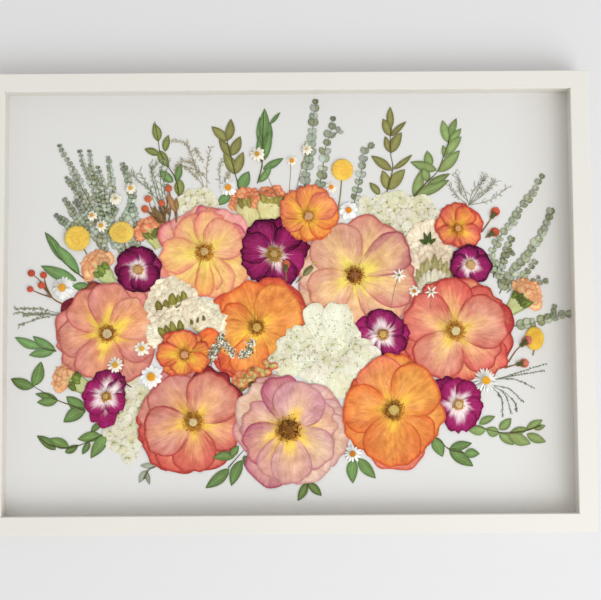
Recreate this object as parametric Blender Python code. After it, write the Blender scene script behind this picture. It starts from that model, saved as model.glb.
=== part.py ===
# A pressed flower frame: dried flowers and leaves laid flat on a mat behind glass, in a deep frame
# of four mitred rails. It lies on its back: +X to the right, +Y to the top edge, +Z out of the front.

import math

import bmesh
import bpy
import numpy as np

mm = 0.001

# Holder
opening_width = 597 * mm
opening_height = 445 * mm
face_width = 19 * mm
rail_depth = 35 * mm
lip_thickness = 6 * mm
rebate_width = 6 * mm
eased_edge = 0.5 * mm
mat_below_face = 24 * mm
glass_thickness = 2 * mm
mat_thickness = 1.5 * mm
backing_thickness = 3 * mm
liner_thickness = 4 * mm
liner_setback = 1 * mm
panel_play = 1 * mm
fit_gap = 0.3 * mm
mitre_gap = 0.24 * mm
hanger_size = (46 * mm, 9 * mm, 0.9 * mm)
hanger_teeth = 9
hanger_from_top = 26 * mm

# Pressed plants
petal_layer = 0.4 * mm
leaf_layer = 0.4 * mm
stem_width = 1.4 * mm
stem_rise = 0.25 * mm
craspedia_height = 3.2 * mm
craspedia_segments = 16
craspedia_rings = 6
carnation_ruffles = 9
carnation_relief = 0.4 * mm
carnation_waist = 0.6
calyx_reach = 0.9
calyx_half_angle = 0.5

# How face-on flowers differ: depth of the notch between lobes, rise of a lobe, rise of the middle, segments
rose_style = (0.1, 0.4 * mm, 0.8 * mm, 25)
small_rose_style = (0.16, 0.3 * mm, 0.7 * mm, 20)
hydrangea_style = (0.25, 0.3 * mm, 0.4 * mm, 24)
daisy_style = (0.35, 0.1 * mm, 1.2 * mm, 24)

# Bed: grid size for finding what a piece rests on, and the steepest slope a piece may take
cell = 1 * mm
steepest = 0.12
finest_tilt = 0.001

front = rail_depth
lip_underside = front - lip_thickness
glass_top = lip_underside - fit_gap
glass_bottom = glass_top - glass_thickness
mat_top = front - mat_below_face
mat_bottom = mat_top - mat_thickness
backing_top = mat_bottom - fit_gap
backing_bottom = backing_top - backing_thickness
panel_width = opening_width + 2 * rebate_width - 2 * panel_play
panel_height = opening_height + 2 * rebate_width - 2 * panel_play

# Colours: red, green, blue, then roughness and metallic
finishes = {
    "painted_wood": (0.80, 0.78, 0.73, 0.45, 0.0),
    "clear_glass": (0.95, 0.97, 0.97, 0.02, 0.0),
    "mat_card": (0.74, 0.75, 0.76, 0.9, 0.0),
    "backing_board": (0.42, 0.30, 0.19, 0.85, 0.0),
    "hanger_steel": (0.60, 0.58, 0.52, 0.35, 1.0),
    "peach_petal": (0.84, 0.50, 0.36, 0.75, 0.0),
    "dusty_petal": (0.74, 0.46, 0.38, 0.75, 0.0),
    "coral_petal": (0.78, 0.24, 0.18, 0.75, 0.0),
    "orange_petal": (0.86, 0.32, 0.08, 0.75, 0.0),
    "mauve_petal": (0.66, 0.38, 0.42, 0.75, 0.0),
    "violet_petal": (0.16, 0.01, 0.12, 0.7, 0.0),
    "yellow_floret": (0.86, 0.58, 0.06, 0.85, 0.0),
    "cream_petal": (0.86, 0.80, 0.62, 0.8, 0.0),
    "white_petal": (0.88, 0.87, 0.82, 0.8, 0.0),
    "green_leaf": (0.22, 0.32, 0.08, 0.7, 0.0),
    "grey_leaf": (0.27, 0.35, 0.26, 0.8, 0.0),
}

# Flowers seen face on: middle x, y and half sizes in mm, number of lobes, turn of the first lobe in degrees
roses = {
    "rose_antique_pink": (-193, -31, 57, 55, 6, 10, "dusty_petal"),
    "rose_peach": (-90, 51, 47, 49, 6, 35, "peach_petal"),
    "rose_dusty_pink": (73, 30, 60, 55, 6, 20, "dusty_petal"),
    "rose_orange_middle": (-33, -26, 48, 50, 5, 50, "orange_petal"),
    "rose_coral": (176, -33, 58, 54, 5, 40, "coral_petal"),
    "rose_salmon": (-100, -126, 57, 57, 7, 15, "coral_petal"),
    "rose_mauve_cream": (-1, -135, 61, 60, 8, 5, "mauve_petal"),
    "rose_orange_right": (109, -113, 55, 61, 6, 30, "orange_petal"),
}
small_roses = {
    "spray_rose_top": (22, 91, 30, 30, 5, 18, "orange_petal"),
    "spray_rose_right": (181, 76, 24, 24, 5, 40, "orange_petal"),
    "spray_rose_left": (-111, -55, 28, 22, 5, 30, "orange_petal"),
    "violet_rose_upper_left": (-160, 36, 25, 25, 5, 5, "violet_petal"),
    "violet_rose_top": (-15, 51, 34, 33, 6, 15, "violet_petal"),
    "violet_rose_upper_right": (194, 37, 22, 22, 5, 50, "violet_petal"),
    "violet_rose_middle": (99, -36, 28, 25, 5, 20, "violet_petal"),
    "violet_rose_lower_left": (-193, -100, 21, 28, 5, 65, "violet_petal"),
    "violet_rose_lower_right": (176, -111, 23, 28, 5, 25, "violet_petal"),
}
hydrangeas = {
    "hydrangea_upper_left": (-98, 109, 22, 12, 5, 10, "white_petal"),
    "hydrangea_upper_right": (119, 86, 42, 29, 7, 10, "white_petal"),
    "hydrangea_lower_left": (-171, -129, 23, 44, 5, 18, "white_petal"),
    "hydrangea_middle": (33, -54, 60, 51, 7, 25, "white_petal"),
}
# Carnations seen from the side: fan middle x, y, fan radius, direction of the calyx in degrees, half spread
carnations = {
    "carnation_peach_right": (250, 2, 20, -132, 78, "peach_petal"),
    "carnation_peach_upper_left": (-148, 79, 15, -70, 95, "peach_petal"),
    "carnation_peach_left": (-204, 36, 19, -60, 80, "peach_petal"),
    "carnation_peach_lower_left": (-239, -82, 21, -26, 75, "peach_petal"),
    "carnation_peach_top": (-28, 108, 27, -82, 85, "peach_petal"),
    "carnation_cream_right": (158, 43, 29, -90, 85, "cream_petal"),
    "carnation_cream_upper": (-128, 10, 29, -62, 80, "cream_petal"),
    "carnation_cream_lower": (-131, -20, 22, -50, 80, "cream_petal"),
    "carnation_cream_fan": (-86, -11, 23, -118, 100, "cream_petal"),
}
# Button flowers: middle x, y, half width, half height, then the end of the stem
craspedias = {
    "craspedia_left": (-225, 69, 14, 14, -211, 42),
    "craspedia_upper_left": (-178, 75, 14, 12, -173, 50),
    "craspedia_top": (58, 141, 12, 12, 51, 86),
    "craspedia_right": (267, -41, 11, 13, 266, -59),
}
daisies = {"daisy_left": (-146, -79, 13, 13, 12, 0, "white_petal")}
face_on_flowers = (
    (roses, rose_style), (small_roses, small_rose_style),
    (hydrangeas, hydrangea_style), (daisies, daisy_style),
)

# Leaf sprigs, in mm: points along the stem, then each leaf's base, tip and width
leaf_sprigs = {
    "leaf_sprig_upper_left": (
        [(-139, 173), (-137, 161), (-128, 145), (-120, 131), (-116, 109)],
        [((-139, 173), (-144, 193), 10), ((-138, 159), (-154, 165), 8), ((-134, 157), (-128, 180), 8),
         ((-138, 163), (-128, 145), 11), ((-122, 129), (-138, 142), 10), ((-116, 132), (-116, 112), 11)],
    ),
    "leaf_sprig_top_left": (
        [(-65, 174), (-64, 167), (-57, 138), (-54, 127), (-52, 108)],
        [((-65, 173), (-82, 189), 10), ((-65, 173), (-61, 197), 10), ((-61, 155), (-74, 175), 10),
         ((-61, 157), (-51, 178), 11), ((-57, 137), (-69, 160), 12), ((-57, 137), (-48, 161), 11),
         ((-53, 120), (-42, 140), 13)],
    ),
    "leaf_sprig_top": (
        [(-26, 204), (-27, 174), (-28, 147), (-33, 120)],
        [((-27, 163), (-30, 199), 10), ((-27, 174), (-25, 208), 11), ((-25, 152), (-18, 188), 9),
         ((-19, 185), (-8, 204), 4), ((-27, 142), (-5, 154), 8), ((-31, 128), (-18, 146), 8)],
    ),
    "leaf_sprig_top_right": (
        [(110, 186), (110, 158), (112, 142), (106, 119), (104, 106)],
        [((111, 182), (110, 209), 8), ((110, 177), (102, 196), 10), ((110, 177), (127, 193), 6),
         ((110, 159), (104, 177), 8), ((110, 159), (122, 181), 11), ((111, 140), (89, 156), 10),
         ((112, 141), (133, 157), 6), ((107, 119), (101, 140), 11), ((108, 119), (125, 141), 13)],
    ),
    "leaf_sprig_forked": (
        [(174, 177), (170, 164), (160, 139), (149, 128), (133, 111), (128, 104)],
        [((171, 168), (166, 194), 10), ((174, 174), (181, 196), 8), ((172, 165), (186, 185), 8),
         ((168, 156), (186, 176), 10), ((161, 138), (184, 161), 12), ((152, 134), (149, 161), 10),
         ((159, 138), (131, 149), 11), ((134, 111), (143, 141), 11), ((137, 113), (172, 129), 12)],
    ),
    "leaf_sprig_left": (
        [(-245, 52), (-241, 45), (-223, 30), (-209, 18)],
        [((-241, 45), (-260, 76), 10), ((-223, 30), (-249, 63), 11), ((-230, 35), (-264, 40), 12)],
    ),
    "leaf_sprig_lower_left": (
        [(-271, -88), (-259, -95), (-245, -103), (-232, -108), (-214, -116)],
        [((-271, -89), (-295, -80), 12), ((-271, -88), (-263, -62), 13), ((-245, -103), (-269, -100), 14),
         ((-218, -115), (-236, -101), 12), ((-218, -115), (-238, -124), 12)],
    ),
    "leaf_sprig_bottom_left": (
        [(-188, -134), (-211, -147), (-232, -153), (-250, -153)],
        [((-246, -153), (-267, -140), 10), ((-231, -153), (-253, -143), 11), ((-238, -153), (-223, -149), 8),
         ((-199, -140), (-224, -144), 11), ((-211, -147), (-219, -160), 7), ((-192, -137), (-210, -164), 13)],
    ),
    "leaf_sprig_bottom": (
        [(-44, -150), (-58, -165), (-65, -177)],
        [((-58, -165), (-81, -164), 10), ((-59, -165), (-54, -152), 8), ((-64, -176), (-89, -196), 12),
         ((-55, -162), (-62, -194), 12)],
    ),
    "leaf_sprig_bottom_right": (
        [(148, -140), (159, -149), (168, -157), (186, -162)],
        [((154, -145), (161, -167), 13), ((168, -157), (192, -151), 10), ((168, -157), (193, -175), 13),
         ((184, -162), (200, -162), 10)],
    ),
    "leaf_sprig_right": (
        [(188, -129), (207, -136), (222, -140), (235, -140), (250, -138), (262, -134)],
        [((200, -134), (217, -123), 8), ((210, -137), (189, -138), 11), ((221, -140), (234, -125), 10),
         ((221, -140), (236, -153), 10), ((232, -140), (253, -134), 8), ((231, -140), (254, -152), 13),
         ((250, -138), (270, -150), 10), ((250, -138), (267, -127), 8)],
    ),
}
# Eucalyptus: each stem's points from its tip to its foot, the width of its leaf pairs, and the pairs
eucalyptus = {
    "eucalyptus_left": [
        ([(-245, 169), (-231, 143), (-214, 110), (-197, 78)], 12, 7),
        ([(-223, 163), (-219, 148), (-210, 126), (-197, 78)], 8, 6),
        ([(-213, 163), (-210, 142), (-203, 121), (-195, 78)], 8, 6),
        ([(-193, 156), (-190, 137), (-188, 115), (-192, 78)], 10, 6),
        ([(-177, 148), (-172, 134), (-167, 110), (-186, 76)], 11, 6),
        ([(-238, 110), (-228, 94), (-196, 74)], 11, 5),
        ([(-247, 93), (-237, 85), (-216, 69), (-194, 72)], 11, 5),
    ],
    "eucalyptus_top": [
        ([(30, 216), (28, 201), (26, 180), (22, 153), (18, 132), (17, 112)], 11, 11),
        ([(50, 198), (46, 183), (40, 164), (37, 150), (32, 138), (17, 112)], 11, 10),
    ],
    "eucalyptus_top_right": [([(88, 166), (81, 158), (79, 144), (76, 129), (71, 108), (68, 92)], 10, 9)],
    "eucalyptus_right": [
        ([(271, 132), (260, 113), (248, 100), (239, 85), (228, 71), (217, 51), (220, 20)], 11, 10),
        ([(280, 93), (275, 80), (267, 66), (256, 51), (241, 33), (220, 20)], 13, 9),
        ([(266, 24), (254, 15), (220, 20)], 8, 4),
    ],
    "eucalyptus_low_right": [([(291, -17), (277, -20), (255, -25), (232, -28)], 9, 6)],
}


def material(slot):
    found = bpy.data.materials.get(slot)
    if found:
        return found
    red, green, blue, roughness, metallic = finishes[slot]
    made = bpy.data.materials.new(slot)
    made.use_nodes = True
    shader = made.node_tree.nodes["Principled BSDF"]
    shader.inputs["Base Color"].default_value = (red, green, blue, 1)
    shader.inputs["Roughness"].default_value = roughness
    shader.inputs["Metallic"].default_value = metallic
    made.diffuse_color = (red, green, blue, 1)
    return made


def node(name, bm, slot, location=(0, 0, 0)):
    bmesh.ops.recalc_face_normals(bm, faces=bm.faces[:])
    mesh = bpy.data.meshes.new(name)
    bm.to_mesh(mesh)
    bm.free()
    mesh.materials.append(material(slot))
    piece = bpy.data.objects.new(name, mesh)
    piece.location = location
    part_collection.objects.link(piece)
    return piece


def add_block(bm, size, middle):
    made = bmesh.ops.create_cube(bm, size=1)
    for vert in made["verts"]:
        vert.co = [vert.co[axis] * size[axis] + middle[axis] for axis in range(3)]


def extrude_outline(bm, outline, low, high):
    # A flat outline raised into a plate with vertical sides.
    corners = [bm.verts.new((x, y, low)) for x, y in outline]
    face = bm.faces.new(corners)
    raised = bmesh.ops.extrude_face_region(bm, geom=[face])["geom"]
    lifted = [item for item in raised if isinstance(item, bmesh.types.BMVert)]
    bmesh.ops.translate(bm, verts=lifted, vec=(0, 0, high - low))


def rail(name, length, middle, turn):
    # The profile is drawn across the rail, x inwards from the outer face, and pushed along its length.
    wall = face_width - rebate_width
    profile = [
        (0, 0), (wall, 0), (wall, lip_underside), (face_width, lip_underside),
        (face_width, front - eased_edge), (face_width - eased_edge, front),
        (eased_edge, front), (0, front - eased_edge),
    ]
    bm = bmesh.new()
    extrude_outline(bm, profile, -length / 2, length / 2)
    for vert in bm.verts:
        inward, height, along = vert.co
        reach = length / 2 - inward - mitre_gap
        vert.co = (math.copysign(reach, along), inward, height)
    rail_piece = node(name, bm, "painted_wood", (middle[0], middle[1], 0))
    rail_piece.rotation_euler.z = turn
    return rail_piece


def build_holder():
    half_x = opening_width / 2 + face_width
    half_y = opening_height / 2 + face_width
    rail("rail_bottom", 2 * half_x, (0, -half_y), 0)
    rail("rail_top", 2 * half_x, (0, half_y), math.pi)
    rail("rail_left", 2 * half_y, (-half_x, 0), -math.pi / 2)
    rail("rail_right", 2 * half_y, (half_x, 0), math.pi / 2)

    for name, low, high, slot in (
        ("glass_pane", glass_bottom, glass_top, "clear_glass"),
        ("mat_board", mat_bottom, mat_top, "mat_card"),
        ("backing_board", backing_bottom, backing_top, "backing_board"),
    ):
        bm = bmesh.new()
        add_block(bm, (panel_width, panel_height, high - low), (0, 0, (low + high) / 2))
        node(name, bm, slot)

    # The liner is one folded strip around the sides, from the mat up to the glass.
    liner_low = mat_top + fit_gap
    liner_high = glass_bottom - fit_gap
    bm = bmesh.new()
    bmesh.ops.create_grid(bm, x_segments=1, y_segments=1, size=1)
    for vert in bm.verts:
        outer_x = opening_width / 2 + liner_setback + liner_thickness
        outer_y = opening_height / 2 + liner_setback + liner_thickness
        vert.co = (vert.co.x * outer_x, vert.co.y * outer_y, liner_low)
    inner = bm.faces[:]
    bmesh.ops.inset_region(
        bm, faces=inner, thickness=liner_thickness, use_boundary=True, use_even_offset=True
    )
    bmesh.ops.delete(bm, geom=inner, context="FACES")
    raised = bmesh.ops.extrude_face_region(bm, geom=bm.faces[:])["geom"]
    lifted = [item for item in raised if isinstance(item, bmesh.types.BMVert)]
    bmesh.ops.translate(bm, verts=lifted, vec=(0, 0, liner_high - liner_low))
    node("liner", bm, "mat_card")

    # A strip with a toothed lower edge, fixed to the back of the board inside the recess.
    width, height, thickness = hanger_size
    toothed_share = 0.7
    tooth = width * toothed_share / hanger_teeth
    start = -tooth * hanger_teeth / 2
    outline = [(-width / 2, 0), (-width / 2, -height)]
    for number in range(hanger_teeth):
        outline.append((start + tooth * number, -height))
        outline.append((start + tooth * (number + 0.5), -height + tooth * 0.6))
    outline += [(start + tooth * hanger_teeth, -height), (width / 2, -height), (width / 2, 0)]
    top = backing_bottom - fit_gap
    bm = bmesh.new()
    extrude_outline(bm, outline, top - thickness, top)
    node("sawtooth_hanger", bm, "hanger_steel", (0, panel_height / 2 - hanger_from_top, 0))


def pressed_disc(name, x, y, slot, outline, relief, rings, segments):
    # A spun sheet of rings, shaped by outline(angle) and relief(share of radius, angle), closed flat below.
    bm = bmesh.new()
    spoke = [bm.verts.new((share, 0, 0)) for share in rings]
    links = [bm.edges.new(pair) for pair in zip(spoke, spoke[1:])]
    bmesh.ops.spin(
        bm, geom=spoke + links, cent=(0, 0, 0), axis=(0, 0, 1), angle=2 * math.pi, steps=segments,
        use_duplicate=False,
    )
    bmesh.ops.remove_doubles(bm, verts=bm.verts[:], dist=0.0001)
    for vert in bm.verts:
        share = vert.co.xy.length
        angle = math.atan2(vert.co.y, vert.co.x)
        reach = outline(angle) * share
        vert.co = (reach * math.cos(angle), reach * math.sin(angle), petal_layer + relief(share, angle))
    rim = [edge for edge in bm.edges if edge.is_boundary]
    lowered = bmesh.ops.extrude_edge_only(bm, edges=rim)["geom"]
    for item in lowered:
        if isinstance(item, bmesh.types.BMVert):
            item.co.z = 0
    bmesh.ops.holes_fill(bm, edges=[edge for edge in bm.edges if edge.is_boundary], sides=0)
    return node(name, bm, slot, (x * mm, y * mm, 0))


def ellipse_reach(half_width, half_height, angle):
    return 1 / math.hypot(math.cos(angle) / half_width, math.sin(angle) / half_height)


def lobed(half_width, half_height, lobes, turn, depth):
    # Round petals around an oval: full reach in a petal's middle, a notch of the given depth between two.
    first = math.radians(turn)

    def outline(angle):
        swing = abs(math.cos(lobes * (angle - first) / 2))
        return ellipse_reach(half_width * mm, half_height * mm, angle) * (1 - depth * (1 - swing ** 0.6))

    return outline


def face_on_flower(name, entry, style):
    # Rings run from the middle through the button and the fullest part of the lobes to the rim.
    x, y, half_width, half_height, lobes, turn, slot = entry
    depth, puff, button, segments = style
    first = math.radians(turn)
    rings = (0, 0.2, 0.62, 1)

    def relief(share, angle):
        if share < rings[1] + 0.05:
            return button
        swing = abs(math.cos(lobes * (angle - first) / 2))
        return puff * swing if share < rings[2] + 0.05 else 0

    outline = lobed(half_width, half_height, lobes, turn, depth)
    return pressed_disc(name, x, y, slot, outline, relief, rings, segments)


def side_on_carnation(name, entry):
    # A ruffled fan of petals with the narrow calyx below it.
    x, y, radius, calyx_degrees, half_spread, slot = entry
    calyx = math.radians(calyx_degrees)
    spread = math.radians(half_spread)
    rings = (0, 0.55, 1)
    segments = 22

    def outline(angle):
        away = abs((angle - calyx + math.pi) % (2 * math.pi) - math.pi)
        if away > math.pi - spread:
            return radius * mm * (0.93 + 0.07 * math.cos(carnation_ruffles * angle * 2))
        if away < calyx_half_angle:
            return radius * mm * calyx_reach
        return radius * mm * carnation_waist

    def relief(share, angle):
        return carnation_relief if rings[0] < share < rings[2] else carnation_relief / 2

    return pressed_disc(name, x, y, slot, outline, relief, rings, segments)


def joined_body(name, slot, shells):
    # Plates that cross each other become one closed body.
    pieces = []
    for number, shell in enumerate(shells):
        bmesh.ops.recalc_face_normals(shell, faces=shell.faces[:])
        mesh = bpy.data.meshes.new(f"{name}_{number}")
        shell.to_mesh(mesh)
        shell.free()
        piece = bpy.data.objects.new(f"{name}_{number}", mesh)
        helper_collection.objects.link(piece)
        pieces.append(piece)
    base = pieces[0]
    for other in pieces[1:]:
        union = base.modifiers.new("join", "BOOLEAN")
        union.operation = "UNION"
        union.solver = "EXACT"
        union.object = other
    bpy.context.view_layer.update()
    whole = bpy.data.meshes.new_from_object(base.evaluated_get(bpy.context.evaluated_depsgraph_get()))
    bm = bmesh.new()
    bm.from_mesh(whole)
    for piece in pieces:
        bpy.data.objects.remove(piece, do_unlink=True)
    return node(name, bm, slot)


def leaf_shell(base, tip, width, low, high):
    # A pointed oval from base to tip.
    (base_x, base_y), (tip_x, tip_y) = base, tip
    length = math.dist(base, tip)
    along = ((tip_x - base_x) / length, (tip_y - base_y) / length)
    profile = [(-0.06, 0), (0.3, 0.46), (0.62, 0.46), (1, 0), (0.62, -0.46), (0.3, -0.46)]
    outline = []
    for share, side in profile:
        forward = share * length
        across = side * width
        outline.append((
            (base_x + along[0] * forward - along[1] * across) * mm,
            (base_y + along[1] * forward + along[0] * across) * mm,
        ))
    bm = bmesh.new()
    extrude_outline(bm, outline, low, high)
    return bm


def path_point(path, share):
    # A point and its forward direction at a share of the path's length.
    points = np.array(path, float)
    steps = np.hypot(*np.diff(points, axis=0).T)
    travelled = np.concatenate([[0], np.cumsum(steps)]) / steps.sum()
    here = np.array([np.interp(share, travelled, points[:, axis]) for axis in range(2)])
    nearby = [
        np.array([np.interp(np.clip(share + shift, 0, 1), travelled, points[:, axis]) for axis in range(2)])
        for shift in (-0.04, 0.04)
    ]
    forward = nearby[1] - nearby[0]
    return here, forward / np.hypot(*forward)


def strip_shell(path, shares, half_widths, low, high):
    # A flat strip along a path; half_widths gives its reach to each side at every share.
    left = []
    right = []
    for share, half in zip(shares, half_widths):
        here, forward = path_point(path, share)
        across = np.array([-forward[1], forward[0]]) * half
        left.append(tuple((here + across) * mm))
        right.append(tuple((here - across) * mm))
    bm = bmesh.new()
    extrude_outline(bm, left + right[::-1], low, high)
    return bm


def leaf_sprig(name, entry):
    stem, leaves = entry
    steps = len(stem)
    shares = [number / (steps - 1) for number in range(steps)]
    half = stem_width / mm / 2
    shells = [strip_shell(stem, shares, [half] * steps, 0, leaf_layer + stem_rise)]
    shells += [leaf_shell(base, tip, width, 0, leaf_layer) for base, tip, width in leaves]
    return joined_body(name, "green_leaf", shells)


def eucalyptus_branch(name, stems):
    # Each strip swells at every leaf pair and narrows between two; the pairs grow towards the foot.
    shells = []
    for path, width, pairs in stems:
        shares = []
        halves = []
        for pair in range(pairs):
            shares += [pair / pairs, (pair + 0.5) / pairs]
            halves += [0.6 if pair == 0 else width * 0.16, width * (0.32 + 0.18 * min(1, pair / 3))]
        shells.append(strip_shell(path, shares + [1], halves + [1.5], 0, leaf_layer))
    return joined_body(name, "grey_leaf", shells)


def craspedia(name, entry):
    # A pressed globe: a low dome with its stem.
    x, y, half_width, half_height, foot_x, foot_y = entry
    underside = 0.1 * mm
    bm = bmesh.new()
    made = bmesh.ops.create_uvsphere(bm, u_segments=craspedia_segments, v_segments=craspedia_rings, radius=1)
    for vert in made["verts"]:
        height = max(0, vert.co.z)
        vert.co = (
            x * mm + vert.co.x * half_width * mm, y * mm + vert.co.y * half_height * mm,
            height * craspedia_height + underside,
        )
    bottom = [face for face in bm.faces if all(vert.co.z < underside + 0.01 * mm for vert in face.verts)]
    bmesh.ops.dissolve_faces(bm, faces=bottom, use_verts=True)
    half = stem_width / mm / 2
    stem = strip_shell([(x, y), (foot_x, foot_y)], [0, 1], [half, half], 0, leaf_layer + 2 * stem_rise)
    return joined_body(name, "yellow_floret", [bm, stem])


class Bed:
    # The height of what already lies on the mat, kept on a fine grid, so each piece rests on those before it.
    def __init__(self):
        xs = np.arange(-panel_width / 2, panel_width / 2, cell) + cell / 2
        ys = np.arange(-panel_height / 2, panel_height / 2, cell) + cell / 2
        self.x, self.y = np.meshgrid(xs, ys)
        self.height = np.full(self.x.shape, mat_top)

    def footprint(self, piece):
        # The cells under the piece, and the height of its top above its own origin in each of them.
        mesh = piece.data
        mesh.calc_loop_triangles()
        points = np.array([vert.co[:] for vert in mesh.vertices]) + np.array(piece.location)
        covered = np.zeros(self.height.shape, bool)
        tops = np.zeros(self.height.shape)
        corner = np.array([panel_width, panel_height]) / 2
        for triangle in mesh.loop_triangles:
            first, second, third = points[list(triangle.vertices)]
            normal = np.cross(second - first, third - first)
            if normal[2] < 1e-10:
                continue
            slope = -normal[:2] / normal[2]
            plan = np.array([first, second, third])[:, :2]
            low = np.floor((plan.min(0) + corner) / cell).astype(int) - 1
            high = np.ceil((plan.max(0) + corner) / cell).astype(int) + 2
            window = (slice(low[1], high[1]), slice(low[0], high[0]))
            grid_x, grid_y = self.x[window], self.y[window]
            inside = np.ones(grid_x.shape, bool)
            for number in range(3):
                start = plan[number]
                side = plan[(number + 1) % 3] - start
                reach = side[0] * (grid_y - start[1]) - side[1] * (grid_x - start[0])
                inside &= reach > -cell * np.hypot(*side)
            top = first[2] + slope[0] * (grid_x - first[0]) + slope[1] * (grid_y - first[1])
            top = np.minimum(top + np.hypot(*slope) * cell, max(first[2], second[2], third[2]))
            covered[window] |= inside
            tops[window] = np.where(inside, np.maximum(tops[window], top), tops[window])
        return covered, tops

    def lay(self, piece):
        # The lowest plane that clears everything under the piece; a stiff dried flower tips like this.
        covered, tops = self.footprint(piece)
        x, y, height = self.x[covered], self.y[covered], self.height[covered]
        middle_x, middle_y = x.mean(), y.mean()
        tilt = np.zeros(2)
        step = steepest / 2
        while step > finest_tilt:
            tries = [tilt + step * np.array([i, j]) for i in (-1, 0, 1) for j in (-1, 0, 1)]
            tries = [np.clip(option, -steepest, steepest) for option in tries]
            levels = [(height - a * (x - middle_x) - b * (y - middle_y)).max() for a, b in tries]
            best = tries[int(np.argmin(levels))]
            if np.allclose(best, tilt):
                step /= 2
            tilt = best
        level = (height - tilt[0] * (x - middle_x) - tilt[1] * (y - middle_y)).max() + fit_gap
        for vert in piece.data.vertices:
            away_x = vert.co.x + piece.location.x - middle_x
            away_y = vert.co.y + piece.location.y - middle_y
            vert.co.z += tilt[0] * away_x + tilt[1] * away_y
        piece.location.z = level
        lean = tilt[0] * (x - middle_x) + tilt[1] * (y - middle_y)
        self.height[covered] = level + lean + tops[covered] + np.hypot(*tilt) * cell


for thing in list(bpy.data.objects):
    bpy.data.objects.remove(thing, do_unlink=True)
part_collection = bpy.data.collections.new("pressed_flower_frame")
helper_collection = bpy.data.collections.new("helpers")
for collection in (part_collection, helper_collection):
    bpy.context.scene.collection.children.link(collection)
helper_collection.hide_render = True

build_holder()
bed = Bed()

for name, stems in eucalyptus.items():
    bed.lay(eucalyptus_branch(name, stems))
for name, entry in leaf_sprigs.items():
    bed.lay(leaf_sprig(name, entry))
for name, entry in craspedias.items():
    bed.lay(craspedia(name, entry))


def lay_flower(name):
    if name in carnations:
        bed.lay(side_on_carnation(name, carnations[name]))
    for kind, style in face_on_flowers:
        if name in kind:
            bed.lay(face_on_flower(name, kind[name], style))


# Each flower lies on those named before it.
for name in (
    "hydrangea_upper_left", "hydrangea_upper_right", "hydrangea_lower_left",
    "carnation_peach_right", "carnation_peach_upper_left", "carnation_peach_left",
    "carnation_peach_lower_left", "carnation_peach_top", "carnation_cream_right",
    "rose_antique_pink", "rose_peach", "rose_dusty_pink",
    "violet_rose_upper_left", "violet_rose_top", "spray_rose_right", "violet_rose_upper_right",
    "spray_rose_top", "rose_orange_middle", "rose_coral", "violet_rose_middle", "hydrangea_middle",
    "rose_salmon", "rose_mauve_cream", "violet_rose_lower_right", "rose_orange_right",
    "carnation_cream_upper", "carnation_cream_lower", "carnation_cream_fan",
    "spray_rose_left", "violet_rose_lower_left", "daisy_left",
):
    lay_flower(name)
bpy.data.collections.remove(helper_collection)
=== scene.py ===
import math

import bpy
import numpy as np
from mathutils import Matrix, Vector


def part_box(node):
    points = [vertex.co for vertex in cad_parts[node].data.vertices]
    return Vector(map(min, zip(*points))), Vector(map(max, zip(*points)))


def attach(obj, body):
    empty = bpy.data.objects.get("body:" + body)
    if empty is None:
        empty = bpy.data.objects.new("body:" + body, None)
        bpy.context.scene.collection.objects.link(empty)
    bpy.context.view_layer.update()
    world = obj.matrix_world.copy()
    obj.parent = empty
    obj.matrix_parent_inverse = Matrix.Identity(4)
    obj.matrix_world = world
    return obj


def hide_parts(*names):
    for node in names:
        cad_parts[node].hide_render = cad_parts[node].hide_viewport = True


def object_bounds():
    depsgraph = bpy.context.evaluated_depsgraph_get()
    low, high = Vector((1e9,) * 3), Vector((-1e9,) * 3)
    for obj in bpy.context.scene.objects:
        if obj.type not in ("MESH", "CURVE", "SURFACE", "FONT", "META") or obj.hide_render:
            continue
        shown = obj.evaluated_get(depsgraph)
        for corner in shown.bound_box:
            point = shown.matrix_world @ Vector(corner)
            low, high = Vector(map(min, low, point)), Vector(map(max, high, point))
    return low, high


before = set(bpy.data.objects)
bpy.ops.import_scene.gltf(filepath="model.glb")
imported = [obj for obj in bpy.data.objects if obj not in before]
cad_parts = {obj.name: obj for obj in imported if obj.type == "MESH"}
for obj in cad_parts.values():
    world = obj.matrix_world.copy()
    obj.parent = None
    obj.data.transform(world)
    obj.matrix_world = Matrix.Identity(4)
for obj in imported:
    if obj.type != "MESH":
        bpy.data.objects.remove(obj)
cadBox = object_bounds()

# A frame of pressed flowers, lying on its back: +X right, +Y top edge, +Z out of the front. Tables are in mm.
mm = 0.001
cardGain = 0.92  # the frame, the mat and the floor catch more light than the plants, so their paint is darker
brightest = 0.92  # no paint is whiter than this
fullTurn = 6.28  # for random turns
seedSpiral = 2.39996  # turn from one floret or seed to the next, in radians

# Where the plants lie, kept as a map of heights that each petal is laid on in turn
bed = {"cell": 0.6, "left": -300.0, "low": -224.0, "columns": 1001, "rows": 748, "slope": 0.14}
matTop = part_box("mat_board")[1].z / mm
heights = np.full((bed["rows"], bed["columns"]), matTop)
laid = []  # each thing laid: its points, where it lies, its underside, its top, and how far it would like to curl up


def paint(colour, gain=1.0):
    # a colour as seen on the screen, made into light
    c = np.asarray(colour, float) / 255
    light = np.where(c > 0.04, ((c + 0.055) / 1.055) ** 2.4, c / 12.92)
    return np.minimum(light * gain, brightest)


def smooth(x, low, high):
    t = np.clip((x - low) / (high - low), 0, 1)
    return t * t * (3 - 2 * t)


waveSines, wrinkleSines, waveGain = 5, 6, 1.6


def waves(x, rng, low, high):
    # a wandering line between about -1 and 1, from a few sines
    total = np.zeros_like(x)
    for _ in range(waveSines):
        total += np.sin(x * rng.uniform(low, high) + rng.uniform(0, fullTurn))
    return total / waveSines * waveGain


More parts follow.
